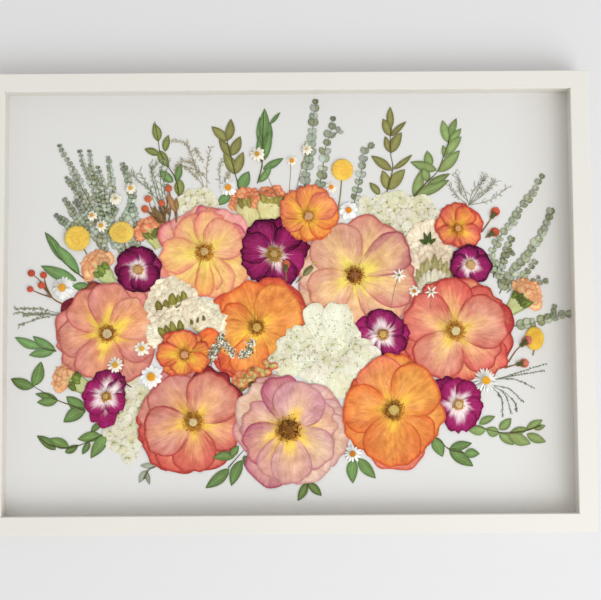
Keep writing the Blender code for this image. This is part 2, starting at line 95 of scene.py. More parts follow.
def wrinkles(flat, rng, wavelength):
    # the same over the plane, for cockled tissue
    total = np.zeros(flat.shape[:-1])
    for _ in range(wrinkleSines):
        turn = rng.uniform(0, fullTurn)
        k = fullTurn / (wavelength * rng.uniform(0.6, 1.6))
        total += np.sin(k * (flat[..., 0] * math.cos(turn) + flat[..., 1] * math.sin(turn)) + rng.uniform(0, fullTurn))
    return total / wrinkleSines * waveGain


def rolled(field, reach, blend):
    # highest, mean or lowest of the cells within reach, along both ways
    for axis in (0, 1):
        total = field.copy()
        for n in range(1, reach + 1):
            for step in (-n, n):
                moved = np.roll(field, step, axis)
                if blend == "highest":
                    total = np.maximum(total, moved)
                elif blend == "lowest":
                    total = np.minimum(total, moved + bed["slope"] * bed["cell"] * max(0, n - 1))
                else:
                    total += moved
        field = total / (2 * reach + 1) if blend == "mean" else total
    return field


def heading(turn):
    return np.array([math.cos(turn), math.sin(turn)])


def around(middle, wide, deep, turn):
    # spots at these distances and turns from the middle
    return np.column_stack([middle[0] + wide * np.cos(turn), middle[1] + deep * np.sin(turn)])


def readAt(field, flat, reach, blends):
    # the field over these points, after each way of blending it with what is near
    pad = len(blends) * reach + 3
    x = (flat[..., 0] - bed["left"]) / bed["cell"]
    y = (flat[..., 1] - bed["low"]) / bed["cell"]
    c0, c1 = max(0, int(x.min()) - pad), min(bed["columns"], int(x.max()) + pad + 2)
    r0, r1 = max(0, int(y.min()) - pad), min(bed["rows"], int(y.max()) + pad + 2)
    patch = field[r0:r1, c0:c1]
    for blend in blends:
        patch = rolled(patch, reach, blend)
    x = np.clip(x - c0, 0, patch.shape[1] - 1.001)
    y = np.clip(y - r0, 0, patch.shape[0] - 1.001)
    i, j = x.astype(int), y.astype(int)
    s, t = x - i, y - j
    return ((patch[j, i] * (1 - s) + patch[j, i + 1] * s) * (1 - t)
            + (patch[j + 1, i] * (1 - s) + patch[j + 1, i + 1] * s) * t)


def restHeight(flat, reach):
    # height that a stiff thing rests at, over these points
    return readAt(heights, flat, max(1, round(reach / bed["cell"])), ("highest", "mean"))


def finer(grid, rows, columns):
    # a grid of points, refilled to more rows and columns
    a = np.linspace(0, grid.shape[0] - 1.0001, rows)
    i = a.astype(int)
    s = (a - i)[:, None, None]
    grid = grid[i] * (1 - s) + grid[i + 1] * s
    b = np.linspace(0, grid.shape[1] - 1.0001, columns)
    j = b.astype(int)
    t = (b - j)[None, :, None]
    return grid[:, j] * (1 - t) + grid[:, j + 1] * t


def cellOf(spots):
    # row and column of the cell that each spot is in
    column = ((spots[:, 0] - bed["left"]) / bed["cell"] + 0.5).astype(int)
    row = ((spots[:, 1] - bed["low"]) / bed["cell"] + 0.5).astype(int)
    return np.clip(row, 0, bed["rows"] - 1), np.clip(column, 0, bed["columns"] - 1)


def cells(flat, top):
    # rows, columns and heights of the cells that this sheet covers, with none skipped
    grid = np.dstack([flat, top])
    if min(flat.shape[:2]) > 1:
        spans = [np.abs(np.diff(flat, axis=i)).sum(axis=(i, 2)).max() for i in (0, 1)]
        grid = finer(grid, *(int(span / bed["cell"] * 1.3) + 3 for span in spans))
    grid = grid.reshape(-1, 3)
    return *cellOf(grid), grid[:, 2]


def press(points, flat, under, top, lift, stack):
    # what was laid becomes part of the bed
    laid.append((points, flat, under, top, lift))
    if stack:
        row, column, height = cells(flat, top)
        np.maximum.at(heights, (row, column), height)


def hold(middle, radius, height):
    # keeps what lies under a stalked or solid thing from curling up through it
    turn = np.linspace(0, 2 * math.pi, 13)
    share = np.linspace(0, 1, 3)[:, None]
    flat = np.dstack([middle[0] + radius * share * np.cos(turn), middle[1] + radius * share * np.sin(turn)])
    laid.append((None, flat, np.full(flat.shape[:2], height), None, None))


def curlUp():
    # from the top down, each sheet curls as far as what lies on it lets it
    ceiling = np.full(heights.shape, 99.0)
    for points, flat, under, top, lift in reversed(laid):
        if points is not None:
            room = readAt(ceiling, flat, 10, ("lowest",)) - top - 0.05
            lift = np.minimum(lift, np.maximum(room, 0))
            points[:, 2] += np.tile(lift.ravel(), 2)
            under = under + lift
        row, column, height = cells(flat, under)
        np.minimum.at(ceiling, (row, column), height)


# Meshes are gathered as points and faces, with four values at each point:
# lay (mm to the edge, mm from the base, share across), tint, edgeTint, and mood (random, throat share, edge share)
def newPlant():
    return {"points": [], "faces": [], "slots": [], "lay": [], "tint": [], "edgeTint": [], "mood": [], "count": 0}


def gather(plant, points, faces, lay, tint, edgeTint, mood, slot=0):
    n = len(points)
    plant["points"].append(points)
    plant["faces"] += [[v + plant["count"] for v in face] for face in faces]
    plant["slots"] += [slot] * len(faces)
    for key, value in (("lay", lay), ("tint", tint), ("edgeTint", edgeTint), ("mood", mood)):
        plant[key].append(np.broadcast_to(np.asarray(value, float), (n, 3)))
    plant["count"] += n


sheetFaces = {}  # faces of a closed thin sheet, for each size of grid


def facesOfSheet(rows, columns):
    if (rows, columns) not in sheetFaces:
        n = rows * columns
        i = np.arange(n).reshape(rows, columns)
        top = np.stack([i[:-1, :-1], i[1:, :-1], i[1:, 1:], i[:-1, 1:]], -1).reshape(-1, 4)
        around = np.concatenate([i[:, 0], i[-1, 1:], i[-2::-1, -1], i[0, -2:0:-1]])
        after = np.roll(around, -1)
        rim = np.stack([around, around + n, after + n, after], -1)
        sheetFaces[rows, columns] = np.concatenate([top, top[:, ::-1] + n, rim]).tolist()
    return sheetFaces[rows, columns]


def laySheet(plant, flat, lift, thick, lay, tint, edgeTint, mood, reach=2.4, gap=0.08, slot=0, stack=True):
    under = restHeight(flat, reach) + gap
    top = under + thick
    points = np.concatenate([np.dstack([flat, top]).reshape(-1, 3), np.dstack([flat, under]).reshape(-1, 3)])
    values = [v if np.ndim(v) == 1 else np.tile(np.reshape(v, (-1, 3)), (2, 1)) for v in (lay, tint, edgeTint, mood)]
    gather(plant, points, facesOfSheet(*flat.shape[:2]), *values, slot)
    press(points, flat, under, top, np.maximum(lift, 0), stack)


def fanOutline(t):
    # how far a petal reaches at a share t of its half angle
    return np.sqrt(np.maximum(0, 1 - np.abs(t) ** 2.6))


fanAngles = np.radians(np.arange(8, 90, 2))
fanWidths = [(2 * fanOutline(np.linspace(0, 1, 200)) * np.sin(np.linspace(0, a, 200))).max() for a in fanAngles]


petalForm = {
    "skew": 0.06, "notch": 0.05, "notch width": 0.14, "lean": 0.06, "dead rim": 12, "foot": 0.06, "foot share": 0.12,
}


def layPetal(plant, middle, turn, length, width, tint, edgeTint, style, rng, throat=1.0):
    # one petal, spread from the flower's middle: u runs from foot to rim, t from side to side
    rows, columns = style["grid"]
    half = np.interp(width / length, fanWidths, fanAngles)
    t = np.sin(np.linspace(-1, 1, columns) * math.pi / 2 * 0.985)
    a = half * t
    angle = math.radians(turn) + a + petalForm["skew"] * rng.uniform(-1, 1)
    u = (petalForm["foot"] + (1 - petalForm["foot"]) * np.linspace(0, 1, rows) ** 0.85)[:, None]
    outline = length * fanOutline(t)
    outline = outline * (1 + style["ruffle"] * waves(a, rng, 4, 24) * (1 - t * t))
    outline = outline * (1 + rng.uniform(-petalForm["lean"], petalForm["lean"]) * t)
    deep = rng.uniform(0, 1) * petalForm["notch"]
    outline = outline * (1 - deep * np.exp(-((a - rng.uniform(-0.2, 0.2)) / petalForm["notch width"]) ** 2))
    if "teeth" in style:
        outline = outline * (1 - style["teeth"] * rng.uniform(0.4, 1.4, columns) * (np.arange(columns) % 2))
    radius = u * outline
    flat = np.dstack([middle[0] + radius * np.cos(angle), middle[1] + radius * np.sin(angle)])
    rim = flat[-1]
    away = np.sqrt(((flat[:, :, None, :] - rim[None, None]) ** 2).sum(-1)).min(-1)
    away = away + petalForm["dead rim"] * (1 - smooth(radius, 0.1 * length, 0.4 * length))
    body = smooth(u, 0.05, 0.5)
    lift = style["dome"] * np.sin(math.pi * u) * (1 - t * t)
    lift = lift + style["curl"] * smooth(u, 0.7, 1.05) ** 1.5 * (0.5 + 0.6 * waves(a, rng, 2, 7))
    lift = lift + style["fold"] * body * (0.4 + 0.6 * waves(a, rng, 8, 22))
    lift = lift + style["cockle"] * body * (0.5 + wrinkles(flat, rng, style["cockleSize"]))
    lay = np.dstack([away, radius + 0 * a, a + 0 * u])
    lift = lift * (0.15 + 0.85 * smooth(radius, 6, 16))
    thick = style["thick"] * (petalForm["foot share"] + (1 - petalForm["foot share"]) * body) + 0 * a
    mood = rng.uniform(0, 1), throat * rng.uniform(0.85, 1.15), rng.uniform(0.75, 1.15)
    gap = 0.02 + style.get("clear", 0.04) * body
    laySheet(plant, flat, lift, thick, lay, tint, edgeTint, mood, style["reach"], gap)


leafShapes = {
    "leaf": lambda s: np.sin(math.pi * s ** 0.85) ** 0.8,
    "oval": lambda s: np.sin(math.pi * s) ** 0.55,
    "strap": lambda s: np.minimum(1, (s / 0.35 + 0.06) ** 0.7) * (1 - s ** 6) ** 0.5,
    "star": lambda s: np.sin(math.pi * (0.1 + 0.9 * s) ** 0.8) ** 0.9,
    "tooth": lambda s: (1 - s) ** 0.7 * (0.75 + 0.9 * s),
    "cup": lambda s: (0.6 + 0.4 * smooth(s, 0, 0.75)) * (1 - 0.5 * smooth(s, 0.85, 1)),
}


def layLeaf(plant, base, tip, width, tint, edgeTint, rng, shape="leaf", grid=(9, 5), bend=0.0, cup=0.35, thick=0.28,
            reach=1.8, bow=0.25, wave=0.0, slot=0, stack=True):
    rows, columns = grid
    base, tip = np.array(base, float), np.array(tip, float)
    along = tip - base
    length = np.hypot(*along)
    along = along / length
    across = np.array([-along[1], along[0]])
    s, t = np.linspace(0, 1, rows), np.linspace(-1, 1, columns)
    half = np.maximum(leafShapes[shape](s), 0.05) * width / 2 * (1 + wave * waves(s, rng, 8, 18))
    flat = (base + along * length * s[:, None, None]
            + across * (half[:, None] * t + bend * length * np.sin(math.pi * s)[:, None])[..., None])
    lift = cup * np.abs(t) ** 1.5 * np.sin(math.pi * s)[:, None] + bow * np.sin(math.pi * s)[:, None]
    lift = lift + 0.3 * bow * wrinkles(flat, rng, 9) ** 2
    lay = np.dstack([half[:, None] * (1 - np.abs(t)), length * s[:, None] + 0 * t, t + 0 * s[:, None]])
    laySheet(plant, flat, lift, np.full(lift.shape, thick), lay, tint, edgeTint,
             (rng.uniform(0, 1), 1, rng.uniform(0.7, 1.1)), reach, slot=slot, stack=stack)


def smoothPath(points, steps):
    # a rounded line through the points
    p = np.array(points, float)
    p = np.concatenate([[2 * p[0] - p[1]], p, [2 * p[-1] - p[-2]]])
    out = []
    for i in range(1, len(p) - 2):
        for t in np.linspace(0, 1, steps, endpoint=False):
            out.append(0.5 * (2 * p[i] + (p[i + 1] - p[i - 1]) * t
                              + (2 * p[i - 1] - 5 * p[i] + 4 * p[i + 1] - p[i + 2]) * t ** 2
                              + (3 * p[i] - p[i - 1] - 3 * p[i + 1] + p[i + 2]) * t ** 3))
    out.append(p[-2])
    return np.array(out)


solidReach = 1.2  # mm round a stem or dome in which the highest thing carries it


def layStem(plant, points, wide, narrow, tint, rng, steps=5, slot=0):
    # a half-round stem along the points, wide at the first and narrow at the last
    path = smoothPath(points, steps)
    ahead = np.gradient(path, axis=0)
    ahead /= np.linalg.norm(ahead, axis=1)[:, None] + 1e-9
    across = np.stack([-ahead[:, 1], ahead[:, 0]], -1)
    t = np.linspace(-1, 1, 5)
    half = np.linspace(wide, narrow, len(path)) / 2
    flat = path[:, None] + across[:, None] * (half[:, None] * t)[..., None]
    thick = 0.05 + 1.3 * half[:, None] * np.sqrt(1 - t * t)
    lay = np.dstack([half[:, None] * (1 - np.abs(t)) + 2, 0 * thick + 30, t + 0 * thick])
    laySheet(plant, flat, 0 * thick, thick, lay, tint, tint, (rng.uniform(0, 1), 1, 1), solidReach, 0.04, slot)


def layDome(plant, middle, wide, deep, high, tint, rng, rings=5, segments=16, rough=0.0, slot=0):
    # a low closed dome, on the highest thing under it
    turn = np.arange(segments) / segments * 2 * math.pi
    rough = 1 + rough * waves(np.sin(turn) * 2 + np.cos(turn) * 3, rng, 2, 5)
    share = np.concatenate([[1.0, 1.0], np.cos(np.linspace(0.2, 1.45, rings - 1))])
    rise = np.concatenate([[0.0, 0.25], np.sin(np.linspace(0.5, 1.5, rings - 1))]) * high
    spots = np.array([[middle[0] + wide * 0.6 * math.cos(t), middle[1] + deep * 0.6 * math.sin(t)] for t in turn])
    floor = restHeight(spots[None], solidReach).max() + 0.03
    ring = np.stack([np.cos(turn) * wide * rough, np.sin(turn) * deep * rough], -1)
    points = [np.column_stack([middle + ring * s, np.full(segments, floor + h)]) for s, h in zip(share, rise)]
    points.append([[middle[0], middle[1], floor + high]])
    points = np.concatenate(points)
    faces = [list(range(segments))[::-1]]
    for r in range(len(share) - 1):
        for k in range(segments):
            n = (k + 1) % segments
            faces.append([r * segments + k, r * segments + n, (r + 1) * segments + n, (r + 1) * segments + k])
    last = (len(share) - 1) * segments
    faces += [[last + k, last + (k + 1) % segments, last + segments] for k in range(segments)]
    out = np.hypot((points[:, 0] - middle[0]) / wide, (points[:, 1] - middle[1]) / deep)
    lay = np.column_stack([(1 - out) * wide, out * wide, 0 * out])
    gather(plant, points, faces, lay, tint, tint, (rng.uniform(0, 1), 1, 1), slot)
    s = np.linspace(0, 1, 7)[:, None]
    t = np.linspace(0, 2 * math.pi, 25)
    flat = np.dstack([middle[0] + wide * s * np.cos(t), middle[1] + deep * s * np.sin(t)])
    under = np.full((7, 25), floor)
    laid.append((None, flat, under, None, None))
    row, column, height = cells(flat, floor + high * np.sqrt(np.maximum(0, 1 - s ** 2)) + 0 * t)
    np.maximum.at(heights, (row, column), height)


def layGrains(plant, spots, sizes, high, tints, sides=5, slot=0, sink=0.15):
    # many small bumps, each of few faces
    spots = np.asarray(spots, float)
    floor = heights[cellOf(spots)] - sink
    turn = np.arange(sides) / sides * 2 * math.pi
    ring = np.stack([np.cos(turn), np.sin(turn)], -1)
    faces = [list(range(sides))[::-1]]
    faces += [[k, (k + 1) % sides, sides + (k + 1) % sides, sides + k] for k in range(sides)]
    faces += [[sides + k, sides + (k + 1) % sides, 2 * sides] for k in range(sides)]
    tints = np.broadcast_to(tints, (len(spots), 3))
    sizes = np.broadcast_to(sizes, (len(spots),))
    for spot, size, base, tint in zip(spots, sizes, floor, tints):
        hold(spot, size / 2, base + sink)
        points = np.concatenate([
            np.column_stack([spot + ring * size / 2, np.full(sides, base)]),
            np.column_stack([spot + ring * size * 0.36, np.full(sides, base + sink + high * 0.7)]),
            [[*spot, base + sink + high]]])
        gather(plant, points, faces, (2, 2, 0), tint, tint, (size % 1, 1, 1), slot)


finished = []  # the plants, made into objects once all have curled up


def finish(*plant):
    finished.append(plant)


def makePlant(name, plant, materials, slotName, replaced=None):
    mesh = bpy.data.meshes.new(name)
    mesh.from_pydata(np.concatenate(plant["points"]) * mm, [], plant["faces"])
    for key in ("lay", "mood"):
        mesh.attributes.new(key, "FLOAT_VECTOR", "POINT").data.foreach_set("vector", np.concatenate(plant[key]).ravel())
    for key in ("tint", "edgeTint"):
        colours = np.concatenate(plant[key])
        colours = np.column_stack([colours, np.ones(len(colours))])
        mesh.attributes.new(key, "FLOAT_COLOR", "POINT").data.foreach_set("color", colours.ravel())
    for material in materials:
        mesh.materials.append(material)
    mesh.polygons.foreach_set("material_index", plant["slots"])
    piece = bpy.data.objects.new(name, mesh)
    bpy.context.scene.collection.objects.link(piece)
    bpy.ops.object.select_all(action="DESELECT")
    piece.select_set(True)
    bpy.context.view_layer.objects.active = piece
    bpy.ops.object.shade_smooth_by_angle(angle=math.radians(50))
    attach(piece, "root")
    if replaced:
        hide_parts(replaced)


# Materials: a node is added, wired to what feeds it and its outputs handed on
def wire(tree, kind, inputs=(), **settings):
    made = tree.nodes.new(kind)
    made.location = (180 * (len(tree.nodes) % 12), -220 * (len(tree.nodes) // 12))
    for key, value in settings.items():
        setattr(made, key, value)
    for key, value in dict(inputs).items():
        if isinstance(value, bpy.types.NodeSocket):
            tree.links.new(value, made.inputs[key])
        else:
            made.inputs[key].default_value = value
    return made.outputs


def calc(tree, operation, a, b=0.0, c=0.0, clamp=False):
    return wire(tree, "ShaderNodeMath", {0: a, 1: b, 2: c}, operation=operation, use_clamp=clamp)[0]


def ramp(tree, value, low, high, start=0.0, end=1.0):
    return wire(tree, "ShaderNodeMapRange", {0: value, 1: low, 2: high, 3: start, 4: end},
                interpolation_type="SMOOTHSTEP")[0]


def blend(tree, share, a, b):
    return wire(tree, "ShaderNodeMix", {0: share, 6: a, 7: b}, data_type="RGBA")[2]


def grain(tree, vector, scale, detail=2.0, rough=0.5):
    return wire(tree, "ShaderNodeTexNoise", {"Vector": vector, "Scale": scale, "Detail": detail, "Roughness": rough})[0]


def newGroup(name, inputs, outputs):
    group = bpy.data.node_groups.new(name, "ShaderNodeTree")
    kinds = {"colour": "NodeSocketColor", "value": "NodeSocketFloat"}
    for label, kind, value in inputs:
        group.interface.new_socket(label, in_out="INPUT", socket_type=kinds[kind]).default_value = value
    for label, kind in outputs:
        group.interface.new_socket(label, in_out="OUTPUT", socket_type=kinds[kind])
    return group, group.nodes.new("NodeGroupInput").outputs, group.nodes.new("NodeGroupOutput").inputs


# Dried tissue: tint at the middle, edgeTint at the rim, a throat colour round the base, veins that spread from it
dried, given, gives = newGroup("driedTissue", [
    ("Throat", "colour", (0.9, 0.6, 0.2, 1)), ("Throat reach", "value", 14.0), ("Rays", "value", 0.8),
    ("Glow", "colour", (0.9, 0.4, 0.1, 1)), ("Glow share", "value", 0.0),
    ("Core", "colour", (0.5, 0.2, 0.05, 1)), ("Core reach", "value", 0.0),
    ("Edge width", "value", 8.0), ("Edge share", "value", 0.6),
    ("Line share", "value", 0.4), ("Line tint", "colour", (0.6, 0.34, 0.34, 1)),
    ("Star", "value", 1.0), ("Veins", "value", 0.15), ("Mottle", "value", 0.12),
    ("Midrib", "value", 0.0), ("Specks", "value", 0.0), ("Pale", "value", 1.0),
], [("Colour", "colour"), ("Height", "value"), ("Roughness", "value")])


def times(a, b, clamp=False):
    return calc(dried, "MULTIPLY", a, b, clamp=clamp)


def plus(a, b):
    return calc(dried, "ADD", a, b)


def minus(a, b):
    return calc(dried, "SUBTRACT", a, b)


def timesPlus(a, b, c):
    return calc(dried, "MULTIPLY_ADD", a, b, c)


def larger(a, b):
    return calc(dried, "MAXIMUM", a, b)


def fade(value, low, high, start=0.0, end=1.0):
    return ramp(dried, value, low, high, start, end)


def over(share, below, above):
    return blend(dried, share, below, above)


def each(operation, a, b, c=(0, 0, 0)):
    # the same sum on red, green and blue
    return wire(dried, "ShaderNodeVectorMath", {0: a, 1: b, 2: c}, operation=operation)[0]


lay = wire(dried, "ShaderNodeSeparateXYZ", {0: wire(dried, "ShaderNodeAttribute", attribute_name="lay")["Vector"]})
mood = wire(dried, "ShaderNodeSeparateXYZ", {0: wire(dried, "ShaderNodeAttribute", attribute_name="mood")["Vector"]})
tint = wire(dried, "ShaderNodeAttribute", attribute_name="tint")["Color"]
edgeTint = wire(dried, "ShaderNodeAttribute", attribute_name="edgeTint")["Color"]
place = wire(dried, "ShaderNodeTexCoord")["Object"]
shift = times(mood[0], 37.0)


def alongVeins(across, along, detail):
    # noise drawn out along the veins, which spread from the base
    return grain(dried, wire(dried, "ShaderNodeCombineXYZ", {
        0: times(lay[2], across), 1: times(lay[1], along), 2: shift})[0], 1.0, detail, 0.6)


broad = alongVeins(6.0, 0.03, 2.0)
fine = alongVeins(24.0, 0.06, 3.0)
cloud = grain(dried, place, 90.0, 3.0)
patch = grain(dried, place, 30.0, 2.0)
dust = grain(dried, place, 700.0, 2.0)
axis = times(fade(calc(dried, "ABSOLUTE", lay[2]), 0.0, 0.6, 0.65, 0.0), given["Star"])
spread = plus(times(minus(broad, 0.5), times(given["Rays"], 2.2)), plus(axis, 0.72))
spread = timesPlus(minus(fine, 0.5), given["Rays"], larger(spread, 0.2))
spread = larger(spread, 0.15)
reach = times(times(given["Throat reach"], mood[1]), spread)
reached = calc(dried, "DIVIDE", lay[1], reach)
throat = fade(reached, 0.5, 1.15, 1.0, 0.0)  # the yellow or pale eye
glow = times(fade(reached, 0.7, 2.3, 1.0, 0.0), given["Glow share"])
rimWidth = times(given["Edge width"], timesPlus(alongVeins(10.0, 0.02, 2.0), 2.6, -0.3))
rimWidth = larger(times(rimWidth, plus(patch, 0.5)), 0.3)
inward = calc(dried, "DIVIDE", lay[0], rimWidth)  # 0 at the rim
rim = plus(fade(inward, 0.0, 2.2, 0.6, 0.0), fade(inward, 0.0, 0.5, 0.4, 0.0))
rim = times(times(rim, given["Edge share"]), mood[2], clamp=True)
streak = times(fade(fine, 0.52, 0.72), fade(lay[0], 0.0, 24.0, 0.3, 0.0))
rim = larger(rim, times(streak, given["Edge share"]))
flush = times(fade(plus(patch, times(broad, 0.6)), 0.7, 1.05), 0.4)
colour = over(larger(rim, times(flush, given["Edge share"])), tint, edgeTint)
pale = times(fade(patch, 0.42, 0.66), fade(lay[0], 4.0, 14.0, 0.0, 0.3))  # painted highlight: paler clouds away from the rim
light = each("MULTIPLY_ADD", colour, (0.62, 0.62, 0.62), (0.36, 0.30, 0.19))
colour = over(times(pale, given["Pale"]), colour, light)
colour = over(glow, colour, given["Glow"])
colour = over(throat, colour, given["Throat"])
# a golden ring round the stamens: partly the petal's own colour at its base, partly painted shadow of the stamens
coreStamenShade = fade(times(lay[1], timesPlus(broad, 1.2, 0.4)), given["Core reach"], times(given["Core reach"], 0.45), 0.0, 0.85)
colour = over(times(coreStamenShade, calc(dried, "GREATER_THAN", given["Core reach"], 0.1)), colour, given["Core"])
rimLineAndShade = times(fade(lay[0], 0.5, 3.4, 1.0, 0.0), given["Line share"])  # the thin dark line of the rim: partly the dried rim's own colour, partly painted shade along the edge
rimLineAndShade = times(rimLineAndShade, fade(cloud, 0.3, 0.6, 0.45, 1.0))
dark = each("MULTIPLY", edgeTint, given["Line tint"])
colour = over(rimLineAndShade, colour, dark)
veins = times(minus(fine, 0.5), given["Veins"])
clouds = times(minus(plus(cloud, patch), 1.0), given["Mottle"])
# painted light and shade of the folds, lighter and darker in bands along the veins; the same noise also gives the
# folds' bump
foldsAndShade = times(minus(alongVeins(9.0, 0.11, 1.0), 0.5), given["Veins"])
shade = plus(plus(veins, clouds), plus(foldsAndShade, 1.0))
shade = timesPlus(minus(dust, 0.5), 0.3, shade)
# painted shade in thin creases along the veins
creaseShade = fade(calc(dried, "ABSOLUTE", minus(alongVeins(15.0, 0.05, 1.0), 0.5)), 0.0, 0.03, 1.0, 0.0)
creaseShade = times(creaseShade, times(fade(patch, 0.4, 0.7, 0.1, 1.0), given["Veins"]))
shade = times(shade, timesPlus(creaseShade, -0.4, 1.0))
shade = larger(shade, 0.05)
deepened = wire(dried, "ShaderNodeCombineXYZ", {k: calc(dried, "POWER", shade, power)
                                                for k, power in enumerate((0.8, 1.25, 1.4))})[0]
colour = each("MULTIPLY", colour, deepened)
rib = times(fade(calc(dried, "ABSOLUTE", lay[2]), 0.04, 0.16, 1.0, 0.0), given["Midrib"])
colour = over(rib, colour, (0.62, 0.66, 0.34, 1))
speck = times(fade(grain(dried, place, 300.0, 1.0), 0.64, 0.7), given["Specks"])
colour = over(speck, colour, (0.25, 0.28, 0.10, 1))
dried.links.new(colour, gives["Colour"])
relief = timesPlus(fine, 0.8, times(cloud, 0.6))
relief = timesPlus(foldsAndShade, 2.0, relief)
dried.links.new(timesPlus(dust, 0.25, relief), gives["Height"])
dried.links.new(timesPlus(dust, 0.2, 0.62), gives["Roughness"])


def newMaterial(name):
    made = bpy.data.materials.new(name)
    made.use_nodes = True
    tree = made.node_tree
    return made, tree, tree.nodes["Principled BSDF"]


def tissue(name, look):
    made, tree, shader = newMaterial(name)
    group = tree.nodes.new("ShaderNodeGroup")
    group.node_tree = dried
    group.location = (-500, 0)
    for key, value in look.items():
        if key not in ("bump", "shine"):
            group.inputs[key].default_value = (*paint(value), 1) if key in ("Throat", "Glow", "Core") else value
    relief = {"Height": group.outputs["Height"], "Strength": look.get("bump", 0.7), "Distance": 0.0009}
    for source, target in ((group.outputs["Colour"], "Base Color"), (group.outputs["Roughness"], "Roughness"),
                           (wire(tree, "ShaderNodeBump", relief)[0], "Normal")):
        tree.links.new(source, shader.inputs[target])
    shader.inputs["Specular IOR Level"].default_value = look.get("shine", 0.2)
    return made


tissues = {
    "peachPetal": {"Throat": (255, 216, 104), "Throat reach": 17, "Rays": 0.5, "Glow": (252, 206, 120),
        "Glow share": 0.75, "Core": (222, 140, 50), "Core reach": 10, "Edge width": 10, "Edge share": 0.95,
        "Line share": 0.5, "Veins": 0.4, "Mottle": 0.5},
    "dustyPetal": {"Throat": (255, 220, 106), "Throat reach": 22, "Rays": 0.5, "Glow": (248, 204, 134),
        "Glow share": 0.75, "Core": (222, 140, 46), "Core reach": 10, "Edge width": 10, "Edge share": 0.9,
        "Line share": 0.7, "Veins": 0.4, "Mottle": 0.55},
    "coralPetal": {"Throat": (254, 206, 96), "Throat reach": 19, "Rays": 0.5, "Glow": (246, 196, 132),
        "Glow share": 0.85, "Core": (236, 160, 56), "Core reach": 9, "Edge width": 11, "Edge share": 1.0,
        "Line share": 0.85, "Veins": 0.4, "Mottle": 0.6},
    "antiquePetal": {"Throat": (252, 208, 86), "Throat reach": 22, "Rays": 0.35, "Glow": (232, 148, 92),
        "Glow share": 0.55, "Core": (206, 126, 40), "Core reach": 10, "Edge width": 10, "Edge share": 0.85,
        "Line share": 0.8, "Veins": 0.45, "Mottle": 0.7},
    "orangePetal": {"Throat": (252, 192, 70), "Throat reach": 18, "Rays": 0.5, "Glow": (248, 168, 74),
        "Glow share": 0.65, "Core": (216, 134, 40), "Core reach": 10, "Edge width": 9, "Edge share": 0.9,
        "Line share": 0.85, "Line tint": (0.72, 0.42, 0.36, 1), "Veins": 0.6, "Mottle": 0.7},
    "salmonPetal": {"Throat": (250, 198, 88), "Throat reach": 18, "Rays": 0.5, "Glow": (244, 182, 124),
        "Glow share": 0.8, "Core": (224, 160, 64), "Core reach": 9, "Edge width": 10, "Edge share": 0.95,
        "Line share": 0.85, "Veins": 0.4, "Mottle": 0.65},
    "mauvePetal": {"Throat": (250, 200, 84), "Throat reach": 24, "Rays": 0.35, "Glow": (238, 192, 136),
        "Glow share": 0.5, "Core": (226, 150, 44), "Core reach": 14, "Edge width": 10, "Edge share": 0.9,
        "Line share": 0.55, "Veins": 0.4, "Mottle": 0.7, "Pale": 0.6},
    "violetPetal": {"Throat": (244, 224, 226), "Throat reach": 13.5, "Rays": 0.3, "Star": 0.5, "Glow": (176, 46, 116),
        "Glow share": 0.55, "Edge width": 10, "Edge share": 1.0, "Line share": 0.6, "Veins": 0.75, "Mottle": 0.7,
        "Pale": 0.15, "bump": 0.35, "shine": 0.05, "Line tint": (0.5, 0.4, 0.45, 1)},
    "floretPetal": {"Throat": (214, 214, 164), "Throat reach": 2.3, "Rays": 0.6, "Edge width": 2.5, "Edge share": 0.7,
        "Line share": 0.3, "Line tint": (0.6, 0.56, 0.34, 1), "Veins": 0.25, "Mottle": 0.3, "Specks": 0.6,
        "Pale": 0.5},
    "carnationPetal": {"Throat": (222, 208, 132), "Throat reach": 5, "Rays": 0.6, "Edge width": 2.2,
        "Edge share": 0.9, "Line share": 0.4, "Line tint": (0.7, 0.46, 0.3, 1), "Veins": 0.6, "Mottle": 0.5,
        "Pale": 0.5},
    "daisyPetal": {"Throat": (225, 225, 200), "Throat reach": 1.5, "Rays": 0.2, "Edge width": 0.8, "Edge share": 0.3,
        "Line share": 0.0, "Veins": 0.1, "Mottle": 0.03, "Pale": 0.0, "bump": 0.1},
    "stamen": {"Throat": (200, 160, 90), "Throat reach": 0.1, "Rays": 0.0, "Edge width": 0.5, "Edge share": 0.2,
        "Line share": 0.0, "Veins": 0.3, "Mottle": 0.5, "bump": 0.8, "Pale": 0.0},
    "greenLeaf": {"Throat": (170, 175, 110), "Throat reach": 0.5, "Rays": 0.2, "Edge width": 1.6, "Edge share": 0.7,
        "Line share": 0.35, "Veins": 0.4, "Mottle": 0.6, "Midrib": 0.15, "Pale": 0.0},
    "greyLeaf": {"Throat": (120, 130, 100), "Throat reach": 0.5, "Rays": 0.2, "Edge width": 1.3, "Edge share": 0.9,
        "Line share": 0.0, "Veins": 0.2, "Mottle": 0.5, "Midrib": 0.1, "Pale": 0.0},
}
tissues["rayedPetal"] = {**tissues["violetPetal"], "Rays": 0.75, "Star": 0.35, "Throat reach": 12}
looks = {name: tissue(name, look) for name, look in tissues.items()}
print("tissue materials made")

